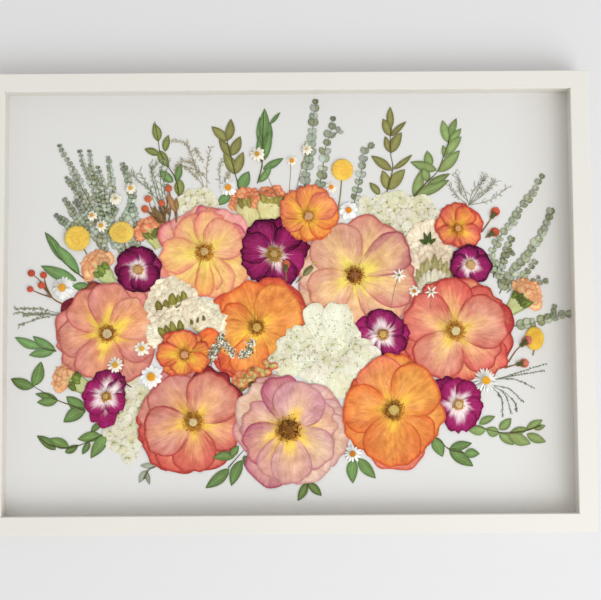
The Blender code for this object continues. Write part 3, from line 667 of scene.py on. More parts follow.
# Colours of petals, as seen
shades = {
    "yellow": (253, 206, 124), "gold": (249, 190, 94), "peach": (248, 192, 150), "blush": (230, 162, 138),
    "pink": (234, 150, 144), "coralPink": (240, 144, 132), "magenta": (206, 90, 122), "rosePink": (238, 164, 168),
    "rosy": (216, 124, 122), "dusty": (230, 180, 154), "pale": (230, 198, 182), "mauve": (208, 142, 152),
    "deepMauve": (184, 84, 116), "coral": (230, 124, 104), "red": (204, 76, 70), "deepRed": (178, 50, 52),
    "crimson": (126, 26, 46), "antique": (226, 162, 144), "dustyRose": (222, 150, 140), "apricot": (238, 168, 132),
    "orange": (240, 148, 76), "dark orange": (234, 112, 56), "amber": (245, 172, 84), "salmon": (234, 142, 122),
    "cream": (233, 208, 180), "creamPink": (228, 186, 168), "lilac": (216, 162, 164), "plum": (136, 20, 78),
    "aubergine": (70, 4, 44), "violet": (162, 34, 102), "whiteMauve": (232, 200, 212),
}
roseStyle = {
    "grid": (15, 33), "ruffle": 0.035, "dome": 0.5, "curl": 0.8, "fold": 0.4, "cockle": 0.4, "cockleSize": 11,
    "thick": 0.22, "reach": 2.4,
}
smallRoseStyle = dict(roseStyle, grid=(11, 27), ruffle=0.065, dome=0.35, curl=0.5, fold=0.45, cockle=0.2, cockleSize=7,
                      reach=1.8, clear=0.14)
petalSlots = {
    "antiquePetal": "dusty_petal", "peachPetal": "peach_petal", "dustyPetal": "dusty_petal",
    "coralPetal": "coral_petal", "orangePetal": "orange_petal", "salmonPetal": "coral_petal",
    "mauvePetal": "mauve_petal", "violetPetal": "violet_petal", "rayedPetal": "violet_petal",
}
# Roses: middle, then each petal from the lowest up: direction, length, width, colour and edge colour;
# stamens: colours of the ring and the button, radius of the ring, radius of the button
roses = {
    "rose_antique_pink": {"at": (-192, -33), "tone": (0.92, 0.89, 0.85), "finish": "antiquePetal",
        "petals": [(47, 66, 34, "pink", "rosy"), (150, 58, 34, "crimson", "crimson"),
        (108, 58, 36, "crimson", "crimson"), (62, 58, 44, "pink", "rosy"), (172, 57, 46, "dustyRose", "rosy"),
        (205, 56, 50, "antique", "rosy"), (-48, 57, 54, "antique", "rosy"), (186, 53, 42, "antique", "rosy"),
        (131, 54, 48, "antique", "rosy"), (-12, 52, 50, "dustyRose", "rosy"), (-103, 52, 52, "antique", "rosy"),
        (88, 54, 48, "dustyRose", "rosy"), (33, 52, 48, "apricot", "blush")],
        "stamens": ((150, 86, 34), (206, 180, 140), 9.8, 5.6)},
    "rose_peach": {"at": (-89, 53), "tone": (0.97, 0.94, 0.86), "finish": "peachPetal",
        "petals": [(204, 55, 34, "coralPink", "pink"), (150, 54, 36, "rosePink", "magenta"),
        (126, 50, 34, "rosePink", "rosePink"), (104, 50, 32, "rosePink", "rosePink"),
        (84, 51, 34, "rosePink", "magenta"), (50, 54, 46, "rosePink", "rosePink"),
        (16, 49, 44, "rosePink", "magenta"), (224, 47, 46, "yellow", "coralPink"),
        (-38, 54, 54, "yellow", "coralPink"), (-62, 50, 40, "yellow", "coralPink"),
        (124, 44, 40, "peach", "coralPink"), (86, 45, 32, "peach", "coralPink"), (33, 44, 48, "peach", "coralPink"),
        (184, 48, 40, "yellow", "coralPink"), (-72, 42, 15, "gold", "coralPink"), (-90, 48, 21, "gold", "coral")],
        "stamens": ((206, 132, 46), (204, 166, 112), 10.4, 4.6)},
    "rose_dusty_pink": {"at": (70, 27), "tone": (0.93, 0.87, 0.83), "finish": "dustyPetal",
        "petals": [(-26, 70, 44, "dusty", "rosy"), (154, 69, 50, "pale", "mauve"), (200, 64, 46, "pale", "mauve"),
        (178, 60, 44, "pale", "blush"), (-72, 53, 54, "peach", "dusty"), (-38, 67, 56, "dusty", "rosy"),
        (-10, 66, 54, "dusty", "rosy"), (46, 68, 44, "dusty", "rosy"), (66, 67, 62, "dusty", "rosy"),
        (30, 68, 44, "dusty", "deepMauve"), (124, 60, 60, "dusty", "antique"), (210, 54, 50, "dusty", "blush")],
        "stamens": ((128, 66, 26), (150, 96, 54), 10.4, 4.2)},
    "rose_coral": {"at": (175.5, -32.5), "tone": (0.96, 0.93, 0.94), "finish": "coralPetal",
        "petals": [(200, 62, 44, "coral", "red"), (14, 64, 50, "red", "deepRed"), (-18, 64, 44, "coral", "deepRed"),
        (-40, 65, 50, "coral", "red"), (66, 58, 60, "salmon", "red"), (42, 59, 46, "coral", "red"),
        (-70, 58, 44, "coral", "red"), (206, 58, 46, "coral", "red"), (116, 58, 44, "coral", "red"),
        (96, 56, 48, "coral", "red"), (152, 57, 56, "salmon", "red"), (-36, 55, 46, "salmon", "red"),
        (20, 57, 60, "blush", "red"), (238, 55, 56, "blush", "red")],
        "stamens": ((222, 156, 54), (228, 212, 162), 11.4, 5.2)},
    "rose_orange_middle": {"at": (-34, -27.5), "tone": (0.95, 0.9, 0.87), "finish": "orangePetal",
        "petals": [(230, 62, 42, "dark orange", "red"), (212, 58, 36, "dark orange", "red"),
        (194, 58, 38, "dark orange", "red"), (38, 60, 50, "dark orange", "red"), (150, 54, 42, "dark orange", "red"),
        (56, 58, 60, "dark orange", "red"), (14, 56, 46, "dark orange", "red"), (-122, 56, 48, "dark orange", "red"),
        (-20, 44, 44, "amber", "orange"), (118, 50, 58, "orange", "dark orange"),
        (172, 42, 44, "orange", "dark orange"), (208, 47, 46, "amber", "orange"), (-66, 46, 44, "amber", "orange"),
        (-100, 54, 42, "orange", "dark orange"), (36, 52, 57, "orange", "amber")],
        "stamens": ((176, 106, 34), (206, 166, 84), 9.4, 5)},
    "rose_salmon": {"at": (-101, -126.5), "tone": (0.92, 0.88, 0.89), "finish": "salmonPetal",
        "petals": [(114, 62, 60, "rosy", "mauve"), (96, 62, 50, "rosy", "mauve"), (62, 62, 42, "deepRed", "crimson"),
        (30, 60, 44, "deepRed", "crimson"), (4, 54, 40, "red", "deepRed"), (188, 60, 60, "coral", "red"),
        (212, 62, 66, "coral", "red"), (163, 60, 40, "blush", "pink"), (-120, 58, 52, "coral", "red"),
        (-56, 55, 50, "salmon", "red"), (-36, 46, 26, "orange", "coral"), (-12, 51, 46, "salmon", "red"),
        (128, 57, 57, "antique", "rosy"), (50, 57, 60, "blush", "red"), (-90, 53, 48, "coral", "red"),
        (194, 55, 54, "antique", "red")], "stamens": ((214, 150, 50), (222, 200, 150), 11.8, 4.8)},
    "rose_mauve_cream": {"at": (-1, -135), "tone": (0.93, 0.84, 0.89), "finish": "mauvePetal",
        "petals": [(116, 62, 44, "pale", "lilac"), (38, 61, 52, "pale", "lilac"), (14, 62, 44, "pale", "lilac"),
        (-14, 66, 58, "cream", "lilac"), (-62, 62, 52, "cream", "pale"), (188, 58, 40, "creamPink", "mauve"),
        (243, 66, 50, "lilac", "deepMauve"), (146, 62, 56, "cream", "pale"), (168, 51, 46, "creamPink", "mauve"),
        (12, 52, 46, "creamPink", "lilac"), (206, 52, 48, "mauve", "deepMauve"), (-112, 54, 36, "lilac", "mauve"),
        (-38, 54, 46, "cream", "lilac"), (101, 58, 42, "mauve", "deepMauve"), (64, 52, 57, "lilac", "lilac"),
        (-86, 58, 44, "creamPink", "lilac")], "stamens": ((104, 60, 26), (140, 92, 36), 14, 4.0)},
    "rose_orange_right": {"at": (109.5, -115.5), "tone": (0.9, 0.87, 0.82), "finish": "orangePetal",
        "petals": [(143, 52, 46, "dark orange", "red"), (-84, 65, 60, "salmon", "coral"),
        (212, 57, 50, "orange", "dark orange"), (-22, 55, 54, "amber", "dark orange"),
        (85, 60, 48, "amber", "dark orange"), (114, 58, 50, "orange", "coral"),
        (175, 54, 52, "orange", "dark orange"), (-52, 54, 50, "orange", "dark orange"),
        (42, 56, 59, "amber", "dark orange"), (-95, 60, 62, "orange", "dark orange")],
        "stamens": ((150, 94, 36), (212, 184, 104), 11.6, 6.2)},
}
smallRoses = {
    "spray_rose_top": {"at": (21.5, 90.5), "tone": (0.93, 0.87, 0.9), "finish": "orangePetal", "throat": 0.85,
        "petals": [(235, 27, 28, "amber", "orange"), (-80, 27, 28, "amber", "dark orange"),
        (185, 30, 32, "orange", "coral"), (-35, 29, 28, "orange", "dark orange"), (135, 34, 36, "orange", "coral"),
        (2, 32, 32, "orange", "dark orange"), (80, 35, 36, "orange", "coral"), (40, 33, 32, "orange", "coral")],
        "stamens": ((190, 120, 50), (214, 168, 124), 5.8, 4.8)},
    "spray_rose_right": {"at": (180, 76), "tone": (1.05, 1.05, 1.0), "finish": "orangePetal", "throat": 0.62,
        "petals": [(152, 25, 26, "coral", "red"), (240, 19, 20, "coral", "red"), (26, 29, 32, "coral", "red"),
        (-66, 21, 22, "coral", "red"), (205, 22, 22, "coral", "red"), (95, 29, 34, "coral", "red"),
        (60, 27, 24, "orange", "red"), (-28, 26, 28, "coral", "red")],
        "stamens": ((196, 120, 34), (222, 160, 100), 5.6, 3.6)},
    "spray_rose_left": {"at": (-110.5, -56), "finish": "orangePetal", "throat": 0.8,
        "petals": [(28, 44, 27, "dark orange", "dark orange"), (-60, 20, 24, "dark orange", "red"),
        (-150, 28, 30, "dark orange", "red"), (50, 26, 28, "orange", "red"), (145, 30, 32, "dark orange", "red"),
        (-110, 22, 26, "orange", "red"), (5, 29, 26, "orange", "red"), (100, 27, 34, "orange", "red"),
        (180, 31, 26, "dark orange", "red"), (-25, 26, 22, "orange", "dark orange")],
        "stamens": ((176, 96, 40), (224, 168, 130), 5.6, 4.4)},
    "violet_rose_upper_left": {"at": (-160, 35), "tone": (0.92, 0.9, 0.9), "finish": "violetPetal", "throat": 1.15,
        "petals": [(18, 25, 36, "plum", "aubergine"), (90, 26, 36, "plum", "aubergine"),
        (162, 25.5, 36, "plum", "aubergine"), (234, 25, 36, "plum", "aubergine"), (306, 25, 36, "plum", "aubergine")],
        "stamens": ((206, 160, 100), (200, 158, 104), 6.0, 4.4)},
    "violet_rose_top": {"at": (-15.5, 50), "finish": "rayedPetal", "throat": 1.35,
        "petals": [(240, 33, 28, "violet", "aubergine"), (-92, 30, 26, "plum", "aubergine"),
        (80, 40, 34, "plum", "aubergine"), (114, 41, 34, "violet", "aubergine"), (24, 39, 40, "plum", "aubergine"),
        (206, 36, 34, "violet", "aubergine"), (-28, 34, 34, "violet", "plum"), (158, 37, 36, "violet", "aubergine"),
        (-62, 37, 30, "plum", "aubergine"), (52, 38, 30, "violet", "aubergine")],
        "stamens": ((184, 160, 88), (196, 160, 104), 10.4, 4.2)},
    "violet_rose_upper_right": {"at": (193, 37.5), "finish": "violetPetal",
        "petals": [(50, 22, 31, "violet", "aubergine"), (122, 22, 31, "violet", "aubergine"),
        (194, 22, 30, "violet", "aubergine"), (266, 20.5, 30, "violet", "aubergine"),
        (338, 23.5, 31, "violet", "aubergine")], "stamens": ((206, 170, 112), (206, 166, 112), 5.4, 4.4)},
    "violet_rose_middle": {"at": (99, -35.5), "finish": "violetPetal", "throat": 1.35,
        "petals": [(158, 31, 24, "violet", "plum"), (186, 28, 20, "violet", "plum"),
        (228, 21, 22, "whiteMauve", "violet"), (-90, 23, 20, "whiteMauve", "violet"), (2, 28, 28, "violet", "plum"),
        (-44, 29, 30, "plum", "aubergine"), (45, 26, 28, "violet", "aubergine"),
        (102, 28, 32, "violet", "aubergine")], "stamens": ((182, 136, 62), (212, 170, 100), 6.8, 4)},
    "violet_rose_lower_left": {"at": (-193, -99), "finish": "violetPetal", "throat": 1.35,
        "petals": [(84, 29, 32, "plum", "aubergine"), (28, 20, 24, "plum", "aubergine"),
        (165, 26, 28, "violet", "plum"), (-100, 33, 30, "plum", "violet"), (212, 26, 26, "violet", "plum"),
        (-42, 22, 25, "violet", "plum"), (46, 27, 13, "plum", "aubergine")],
        "tail": [(-179, -83), (-173, -86), (-167, -90)], "stamens": ((190, 146, 66), (216, 184, 116), 6.4, 3)},
    "violet_rose_lower_right": {"at": (178, -110), "tone": (0.9, 0.8, 0.84), "finish": "violetPetal", "throat": 1.35,
        "petals": [(132, 34, 30, "plum", "aubergine"), (175, 24, 26, "violet", "plum"),
        (105, 28, 32, "violet", "plum"), (45, 28, 30, "violet", "plum"), (-20, 27, 30, "violet", "plum"),
        (-85, 30, 34, "violet", "plum")], "stamens": ((220, 186, 128), (222, 190, 136), 6.6, 4.2)},
}


def layStamens(plant, middle, colours, rng):
    # a ring of threads with grains at their ends, round a rough button
    ring, button, far, near = colours
    gold, dark = np.array((236, 166, 58)), np.array(ring) * 0.8
    near = near * 0.9
    layDome(plant, middle, far * 0.74, far * 0.74, 0.3, paint(ring) * 0.8, rng, 4, 20, 0.12, slot=1)
    count = int(far * far * 2.0) + 20
    turn = rng.uniform(0, fullTurn, count)
    out = np.clip(near + (far - near) * rng.beta(1.3, 1.8, count) * 1.25, near, far * 1.15)
    spots = around(middle, out, out, turn)
    share = np.clip(rng.normal(0.4 + 0.5 * (out / far - 0.6), 0.28, count), 0, 1)[:, None]
    tints = paint(dark * (1 - share) + gold * share) * rng.uniform(0.85, 1.2, (count, 1))
    for k in range(0, count, 3):
        inner = np.array(middle) + (spots[k] - middle) * near / max(out[k], near) * 0.9
        layStem(plant, [inner, (inner + spots[k]) / 2 + rng.uniform(-0.3, 0.3, 2), spots[k]], 0.55, 0.4,
                paint(gold) * rng.uniform(0.45, 1.0), rng, 1, 1)
    layGrains(plant, spots, rng.uniform(0.8, 1.5, count), 0.5, tints, 5, 1, 0.05)
    layDome(plant, middle, near, near, 0.7, paint(button) * 0.9, rng, rough=0.1, slot=1)
    k = np.arange(int(near * near * 1.8) + 6)
    r = near * 0.92 * np.sqrt((k + 0.5) / len(k))
    spots = around(middle, r, r, k * 2.4) + rng.normal(0, 0.2, (len(k), 2))
    layGrains(plant, spots, 1.0, 0.25, paint(button) * rng.uniform(0.62, 1.2, (len(k), 1)), 5, 1, 0.2)


# coarse petals that fill the middle, under the ones in the tables
filler = {"count": 7, "within": 55, "share": 0.9, "tone": 0.9, "grid": (9, 19)}


def layRose(name, seed):
    small = name in smallRoses
    rose, style = (smallRoses[name], smallRoseStyle) if small else (roses[name], roseStyle)
    rng = np.random.default_rng(seed)
    plant = newPlant()
    turns, lengths = np.array([petal[:2] for petal in rose["petals"]]).T
    for k in range(filler["count"]):
        turn = 360 * (k + 0.3) / filler["count"]
        away = np.abs((turns - turn + 180) % 360 - 180)
        _, near, _, colour, edge = rose["petals"][int(away.argmin())]
        shortest = lengths[away < filler["within"]].min()
        layPetal(plant, rose["at"], turn, shortest * filler["share"], near * filler["share"],
                 paint(shades[colour]) * filler["tone"], paint(shades[edge]) * filler["tone"],
                 dict(style, grid=filler["grid"]), rng)
    for turn, length, width, colour, edge in rose["petals"]:
        tone = rng.uniform(0.95, 1.04) * np.array(rose.get("tone", (1, 1, 1)))
        layPetal(plant, rose["at"], turn, length, width, paint(shades[colour]) * tone, paint(shades[edge]) * tone,
                 style, rng, rose.get("throat", 1))
    if "tail" in rose:
        layStem(plant, rose["tail"], 2.2, 0.7, paint((96, 30, 56)), rng, slot=1)
    layStamens(plant, rose["at"], rose["stamens"], rng)
    finish("pressed_" + name, plant, [looks[rose["finish"]], looks["stamen"]], petalSlots[rose["finish"]], name)


# Leaf sprigs: stem points, then each leaf's base, tip and width
leafSprigs = {
    "leaf_sprig_upper_left": ([(-143, 195), (-139, 173), (-137, 161), (-128, 145), (-120, 131), (-116, 109)],
        [(-139, 173, -144, 193, 10), (-138, 159, -154, 165, 8), (-132, 162, -128, 180, 8), (-138, 163, -128, 145, 11),
        (-123, 129, -138, 142, 10, 2), (-120, 129, -115, 149, 8, 2), (-116, 132, -116, 112, 11)]),
    "leaf_sprig_top_left": ([(-65, 174), (-64, 167), (-57, 138), (-54, 127), (-52, 114)], [(-65, 173, -82, 189, 10),
        (-65, 173, -61, 197, 10), (-61, 155, -74, 175, 10), (-61, 157, -51, 178, 11), (-57, 137, -69, 160, 12),
        (-57, 137, -48, 161, 11), (-53, 120, -42, 140, 13, 2), (-62, 114, -76, 104, 10, 2)]),
    "leaf_sprig_top": ([(-26, 204), (-27, 174), (-28, 147), (-33, 127)], [(-27, 163, -30, 199, 10),
        (-26, 163, -19, 193, 10), (-27, 174, -25, 208, 11), (-25, 152, -18, 184, 8), (-28, 150, -31, 179, 7),
        (-19, 191, -8, 204, 4), (-27, 142, -5, 154, 8), (-31, 128, -18, 146, 8)]),
    "leaf_sprig_top_right": ([(110, 186), (110, 158), (112, 142), (106, 119), (104, 108)], [(111, 186, 110, 209, 8),
        (110, 177, 102, 196, 10), (110, 177, 127, 193, 6), (110, 159, 104, 177, 8), (110, 159, 122, 181, 11),
        (111, 140, 89, 156, 10), (112, 141, 133, 157, 6), (107, 119, 101, 140, 11), (108, 119, 125, 141, 13),
        (98, 114, 87, 127, 8)]),
    "leaf_sprig_forked": ([(174, 177), (170, 164), (160, 139), (149, 128), (133, 111), (128, 104)],
        [(171, 170, 166, 194, 10), (174, 176, 181, 196, 8), (172, 167, 186, 185, 8), (169, 156, 186, 176, 10),
        (161, 138, 184, 161, 12), (168, 153, 166, 167, 6), (151, 142, 149, 161, 10), (159, 140, 131, 149, 11),
        (134, 111, 143, 141, 11), (149, 128, 144, 142, 10), (137, 113, 172, 129, 12), (149, 125, 173, 136, 8)]),
    "leaf_sprig_left": ([(-254, 65), (-241, 45), (-223, 30), (-209, 18)], [(-241, 45, -260, 76, 10),
        (-223, 30, -249, 63, 11), (-226, 24, -264, 40, 13), (-210, 15, -231, 18, 10)]),
    "leaf_sprig_lower_left": ([(-271, -88), (-259, -95), (-245, -103), (-232, -108), (-217, -114)],
        [(-271, -89, -295, -80, 12), (-271, -88, -263, -62, 13), (-245, -103, -269, -96, 8),
        (-245, -103, -267, -105, 10), (-216, -116, -236, -99, 14), (-216, -112, -239, -126, 14),
        (-199, -127, -210, -137, 7)]),
    "leaf_sprig_bottom_left": ([(-193, -137), (-211, -146), (-232, -153), (-253, -150), (-264, -142)],
        [(-247, -155, -267, -140, 10), (-233, -152, -253, -143, 11), (-237, -158, -223, -150, 8),
        (-199, -140, -224, -144, 11), (-211, -147, -219, -160, 7), (-192, -137, -210, -164, 13)]),
    "leaf_sprig_bottom": ([(-48, -156), (-58, -167), (-65, -175)], [(-58, -163, -81, -164, 10),
        (-63, -163, -54, -152, 8), (-64, -176, -89, -196, 12), (-51, -167, -62, -194, 12),
        (-48, -162, -46, -175, 7)]),
    "leaf_sprig_bottom_right": ([(150, -143), (159, -149), (168, -157), (183, -161)], [(152, -144, 161, -165, 13),
        (168, -157, 192, -151, 10), (168, -157, 193, -175, 13), (184, -162, 200, -162, 10)]),
    "leaf_sprig_right": ([(192, -131), (207, -136), (222, -140), (235, -140), (250, -138), (265, -133)],
        [(200, -131, 217, -123, 8), (207, -137, 189, -138, 11), (221, -141, 207, -136, 11),
        (221, -137, 234, -125, 10), (221, -141, 236, -153, 10), (232, -141, 253, -136, 8), (231, -142, 254, -152, 13),
        (250, -142, 270, -150, 10), (250, -136, 267, -127, 8), (258, -137, 270, -133, 6)]),
    "leaf_sprig_faded": ([(-138, -172), (-148, -176), (-154, -186)], [(-142, -174, -158, -172, 6),
        (-150, -177, -159, -190, 7), (-151, -178, -148, -192, 5)]),
    "leaf_pair_left": ([(-263, -47), (-254, -50), (-247, -51)], [(-263, -47, -291, -36, 10),
        (-248, -50, -272, -35, 10), (-249, -51, -276, -55, 10)]),
    "leaf_pair_bottom": ([(18, -188), (18, -196)], [(18, -191, 8, -210, 9), (19, -191, 33, -205, 9)]),
    "leaf_pair_bottom_right": ([(67, -162), (68, -168)], [(67, -166, 66, -192, 12), (72, -166, 90, -187, 12)]),
}
leafTints = [((146, 168, 104), (100, 128, 66)), ((140, 150, 82), (104, 112, 54)), ((122, 160, 98), (82, 118, 64)),
    ((150, 150, 88), (116, 112, 58)), ((116, 148, 84), (80, 112, 56)), ((172, 182, 162), (148, 160, 140)),
    ((108, 130, 68), (72, 92, 42))]
sprigFamilies = {
    "leaf_sprig_upper_left": 1, "leaf_sprig_top_left": 3, "leaf_sprig_top": 2, "leaf_sprig_top_right": 3,
    "leaf_sprig_forked": 0, "leaf_sprig_left": 2, "leaf_sprig_lower_left": 4, "leaf_sprig_bottom_left": 4,
    "leaf_sprig_bottom": 4, "leaf_sprig_bottom_right": 4, "leaf_sprig_right": 0, "leaf_pair_left": 2,
    "leaf_pair_bottom": 6, "leaf_pair_bottom_right": 4, "leaf_sprig_faded": 5,
}


def laySprig(name, seed):
    stem, leaves = leafSprigs[name]
    rng = np.random.default_rng(seed)
    plant = newPlant()
    for x0, y0, x1, y1, width, *family in leaves:
        tint, edge = leafTints[family[0] if family else sprigFamilies[name]]
        tone = rng.uniform(0.85, 1.15)
        layLeaf(plant, (x0, y0), (x1, y1), width, paint(tint) * tone, paint(edge) * tone, rng,
                bend=rng.uniform(-0.05, 0.05))
    layStem(plant, stem[::-1], 1.4, 0.6, paint((96, 88, 48)), rng)
    finish("pressed_" + name, plant, [looks["greenLeaf"]], "green_leaf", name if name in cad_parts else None)


# Eucalyptus: stem points from tip to foot, width across a pair, pairs
eucalyptus = {
    "eucalyptus_left": [([(-245, 169), (-231, 143), (-214, 110), (-197, 80)], 11, 15),
        ([(-223, 163), (-219, 148), (-210, 126), (-197, 86)], 9, 13),
        ([(-213, 163), (-210, 142), (-203, 121), (-195, 86)], 9, 13),
        ([(-193, 156), (-190, 137), (-188, 115), (-190, 83)], 11, 12), ([(-204, 145), (-198, 126), (-193, 94)], 9, 9),
        ([(-177, 148), (-172, 134), (-167, 110), (-178, 83)], 12, 12),
        ([(-237, 134), (-225, 116), (-208, 86)], 11, 10), ([(-238, 110), (-228, 94), (-210, 71)], 12, 9),
        ([(-227, 108), (-217, 94), (-203, 72)], 11, 8), ([(-247, 93), (-237, 85), (-216, 69)], 12, 8),
        ([(-214, 80), (-203, 68), (-192, 52)], 12, 6), ([(-198, 86), (-188, 70), (-180, 56)], 12, 6),
        ([(-166, 104), (-162, 86), (-158, 62)], 12, 7), ([(-184, 100), (-196, 78), (-200, 56)], 12, 8),
        ([(-172, 74), (-166, 64), (-158, 50)], 12, 5), ([(-188, 70), (-180, 60), (-172, 48)], 12, 5)],
    "eucalyptus_top": [([(30, 214), (28, 201), (26, 180), (22, 153), (18, 132), (17, 112)], 14, 13),
        ([(49, 196), (46, 183), (40, 164), (38, 150), (36, 138), (32, 116)], 13, 9), ([(56, 184), (46, 176)], 10, 1)],
    "eucalyptus_top_right": [([(88, 166), (81, 158), (79, 144), (76, 129), (71, 108), (68, 94)], 12, 9)],
    "eucalyptus_right": [([(271, 132), (260, 113), (248, 100), (239, 85), (228, 71), (217, 51), (218, 24)], 12, 17),
        ([(280, 93), (275, 80), (267, 66), (256, 51), (241, 33), (229, 17), (224, 7)], 13, 16),
        ([(238, 50), (226, 41), (218, 26)], 9, 5), ([(262, 40), (250, 26), (232, 8)], 10, 7),
        ([(272, 20), (260, 16), (244, 12)], 9, 5), ([(236, 64), (230, 44), (222, 18)], 11, 8),
        ([(266, 24), (254, 15), (237, 4)], 8, 5)],
    "eucalyptus_low_right": [([(295, -15), (277, -19), (255, -25), (236, -28)], 13, 8),
        ([(282, -8), (279, -17)], 9, 2)],
}

greyTints = [((206, 216, 198), (128, 140, 112)), ((188, 200, 176), (108, 120, 88)), ((178, 184, 150), (98, 106, 72)),
    ((216, 223, 212), (150, 162, 140))]


# how the pairs stand: how many more, how much smaller at the tip, angle off the stem, reach, tones, darker tips
eucalyptusForms = {
    "dense": {"pairs": 1.25, "taper": 0.2, "spread": 0.85, "reach": 1, "tones": (0.74, 1.2), "tip": 0.4},
    "loose": {"pairs": 1, "taper": 0.04, "spread": 0.62, "reach": 1.15, "tones": (0.62, 1.04), "tip": 0.3},
}
yellowed = {"eucalyptus_right": (1.0, 0.97, 0.86), "eucalyptus_low_right": (1.0, 0.97, 0.86)}


def layEucalyptus(name, seed):
    rng = np.random.default_rng(seed)
    plant = newPlant()
    form = eucalyptusForms["dense" if name == "eucalyptus_left" else "loose"]
    for points, wide, pairs in eucalyptus[name]:
        path = smoothPath(points[::-1], 8)
        layStem(plant, points[::-1], 1.2, 0.5, paint((112, 116, 84)), rng, 5)
        length = np.concatenate([[0], np.cumsum(np.hypot(*np.diff(path, axis=0).T))])
        pairs = int(pairs * form["pairs"])
        for k in range(pairs):
            share = (k + 0.7) / pairs
            spot, onward, back = (np.array([np.interp(share * length[-1] + mmOn, length, path[:, i]) for i in (0, 1)])
                                  for mmOn in (0, 1, -1))
            ahead, before = onward - spot, spot - back
            bearing = math.atan2(*(ahead + before)[::-1])
            size = wide * (0.58 - form["taper"] * share ** 3) * rng.uniform(0.75, 1.15)
            for side in (-1, 1):
                turn = bearing + side * (form["spread"] + rng.uniform(-0.25, 0.25) - 0.3 * share ** 2)
                tip = spot + size * form["reach"] * heading(turn)
                tone = rng.uniform(*form["tones"]) * (1 - form["tip"] * share ** 5)
                colour, edge = greyTints[rng.integers(0, len(greyTints))]
                tone = tone * np.array(yellowed.get(name, (1, 1, 1)))
                layLeaf(plant, spot, tip, size * rng.uniform(0.7, 1.0), paint(colour) * tone,
                        paint(edge) * tone, rng, "oval", (5, 5), cup=0.3, thick=0.22, reach=1.2, bow=0.1)
    finish("pressed_" + name, plant, [looks["greyLeaf"]], "grey_leaf", name)


# White florets: hydrangea heads, as florets of four petals at x, y and size across, after any large petals
hydrangeas = {
    "hydrangea_upper_left": {"tone": 1.08, "large": [(-97, 106, -120, 103, 22), (-97, 106, -102, 122, 24),
        (-97, 106, -76, 106, 24)], "florets": [(-110, 105, 19), (-84, 104, 20), (-104, 114, 16), (-90, 115, 18),
        (-97, 106, 18)], "dots": 12},
    "hydrangea_upper_right": {"large": [(124, 92, 86, 104, 30), (124, 92, 104, 114, 28), (124, 92, 130, 113, 28),
        (124, 92, 155, 104, 28), (124, 92, 165, 84, 26), (124, 92, 150, 72, 24), (124, 92, 122, 74, 26)],
        "florets": [(122, 79, 18), (156, 83, 18), (148, 82, 20), (135, 76, 19), (119, 110, 18), (105, 105, 21),
        (149, 98, 19), (141, 105, 17), (108, 82, 20), (118, 73, 20), (129, 67, 18), (164, 61, 19), (158, 69, 18),
        (85, 101, 24), (96, 94, 18), (113, 96, 18), (137, 92, 20), (127, 87, 24)], "dots": 34},
    "hydrangea_lower_left": {"large": [(-160, -82, -174, -112, 24), (-158, -88, -160, -118, 24),
        (-170, -104, -170, -140, 26), (-176, -118, -186, -144, 22), (-166, -136, -172, -164, 22)],
        "florets": [(-158, -97, 20), (-172, -104, 21), (-180, -118, 19), (-160, -112, 22), (-168, -130, 24),
        (-182, -134, 18), (-166, -148, 22), (-178, -152, 19), (-170, -164, 16), (-158, -124, 18), (-190, -136, 18),
        (-186, -148, 17), (-168, -80, 17)], "dots": 12},
    "hydrangea_middle": {"heart": (31, -51), "outline": [(16.8, -7.3), (22.5, -2.1), (32, -3.5), (38.6, -9),
        (41.4, -4.5), (61.3, -3.1), (68, -14), (68.9, -23.4), (74.1, -31), (73, -38.6), (84.1, -40.5), (90.7, -50),
        (97.4, -61.4), (95.5, -63.7), (80.3, -62.8), (76.5, -68), (68.9, -80.3), (60.4, -95.5), (57.1, -103.5),
        (49, -97.4), (44.3, -93.6), (30.1, -90.7), (16.8, -84.1), (9.2, -76.5), (1.6, -74.6), (-13.5, -77.5),
        (-17.3, -65.1), (-25.9, -63.3), (-24.9, -59.5), (-18.3, -57.6), (-13.5, -50), (-11.7, -41.4), (-4.1, -39.6),
        (-2.2, -29.1), (8.3, -29.1), (13, -26.3), (18.6, -25), (18.7, -19.6)], "large": [(66, -50, 96, -64, 26),
        (64, -52, 84, -66, 24), (28, -52, -16, -72, 34), (44, -52, 15, -84, 34), (36, -60, 34, -90, 34),
        (50, -52, 57, -104, 34), (56, -58, 76, -76, 28), (24, -46, -14, -50, 22), (26, -40, 2, -30, 17),
        (32, -38, 14, -27, 14), (58, -44, 74, -31, 16), (33, -48, 24, -1, 24), (46, -44, 52, -2, 30)],
        "florets": [(0, -48, 15), (-6, -62, 15), (10, -58, 17), (22, -70, 15), (20, -48, 15), (36, -62, 17),
        (50, -70, 16), (46, -46, 14), (60, -56, 17), (70, -46, 13), (-18, -60, 9), (8, -38, 11)], "dots": 60},
}
floretStyle = {
    "grid": (6, 11), "ruffle": 0.07, "dome": 0.25, "curl": 0.4, "fold": 0.12, "cockle": 0.08, "cockleSize": 5,
    "thick": 0.2, "reach": 1.2,
}
floretWhites = ((232, 229, 206), (229, 225, 192), (235, 226, 208), (223, 218, 176))
largePetalStyle = dict(floretStyle, grid=(11, 21), ruffle=0.035, reach=2.0, dome=0.4, fold=0.2)
patchSheet = {"grid": 45, "thick": 0.22, "reach": 3.0}


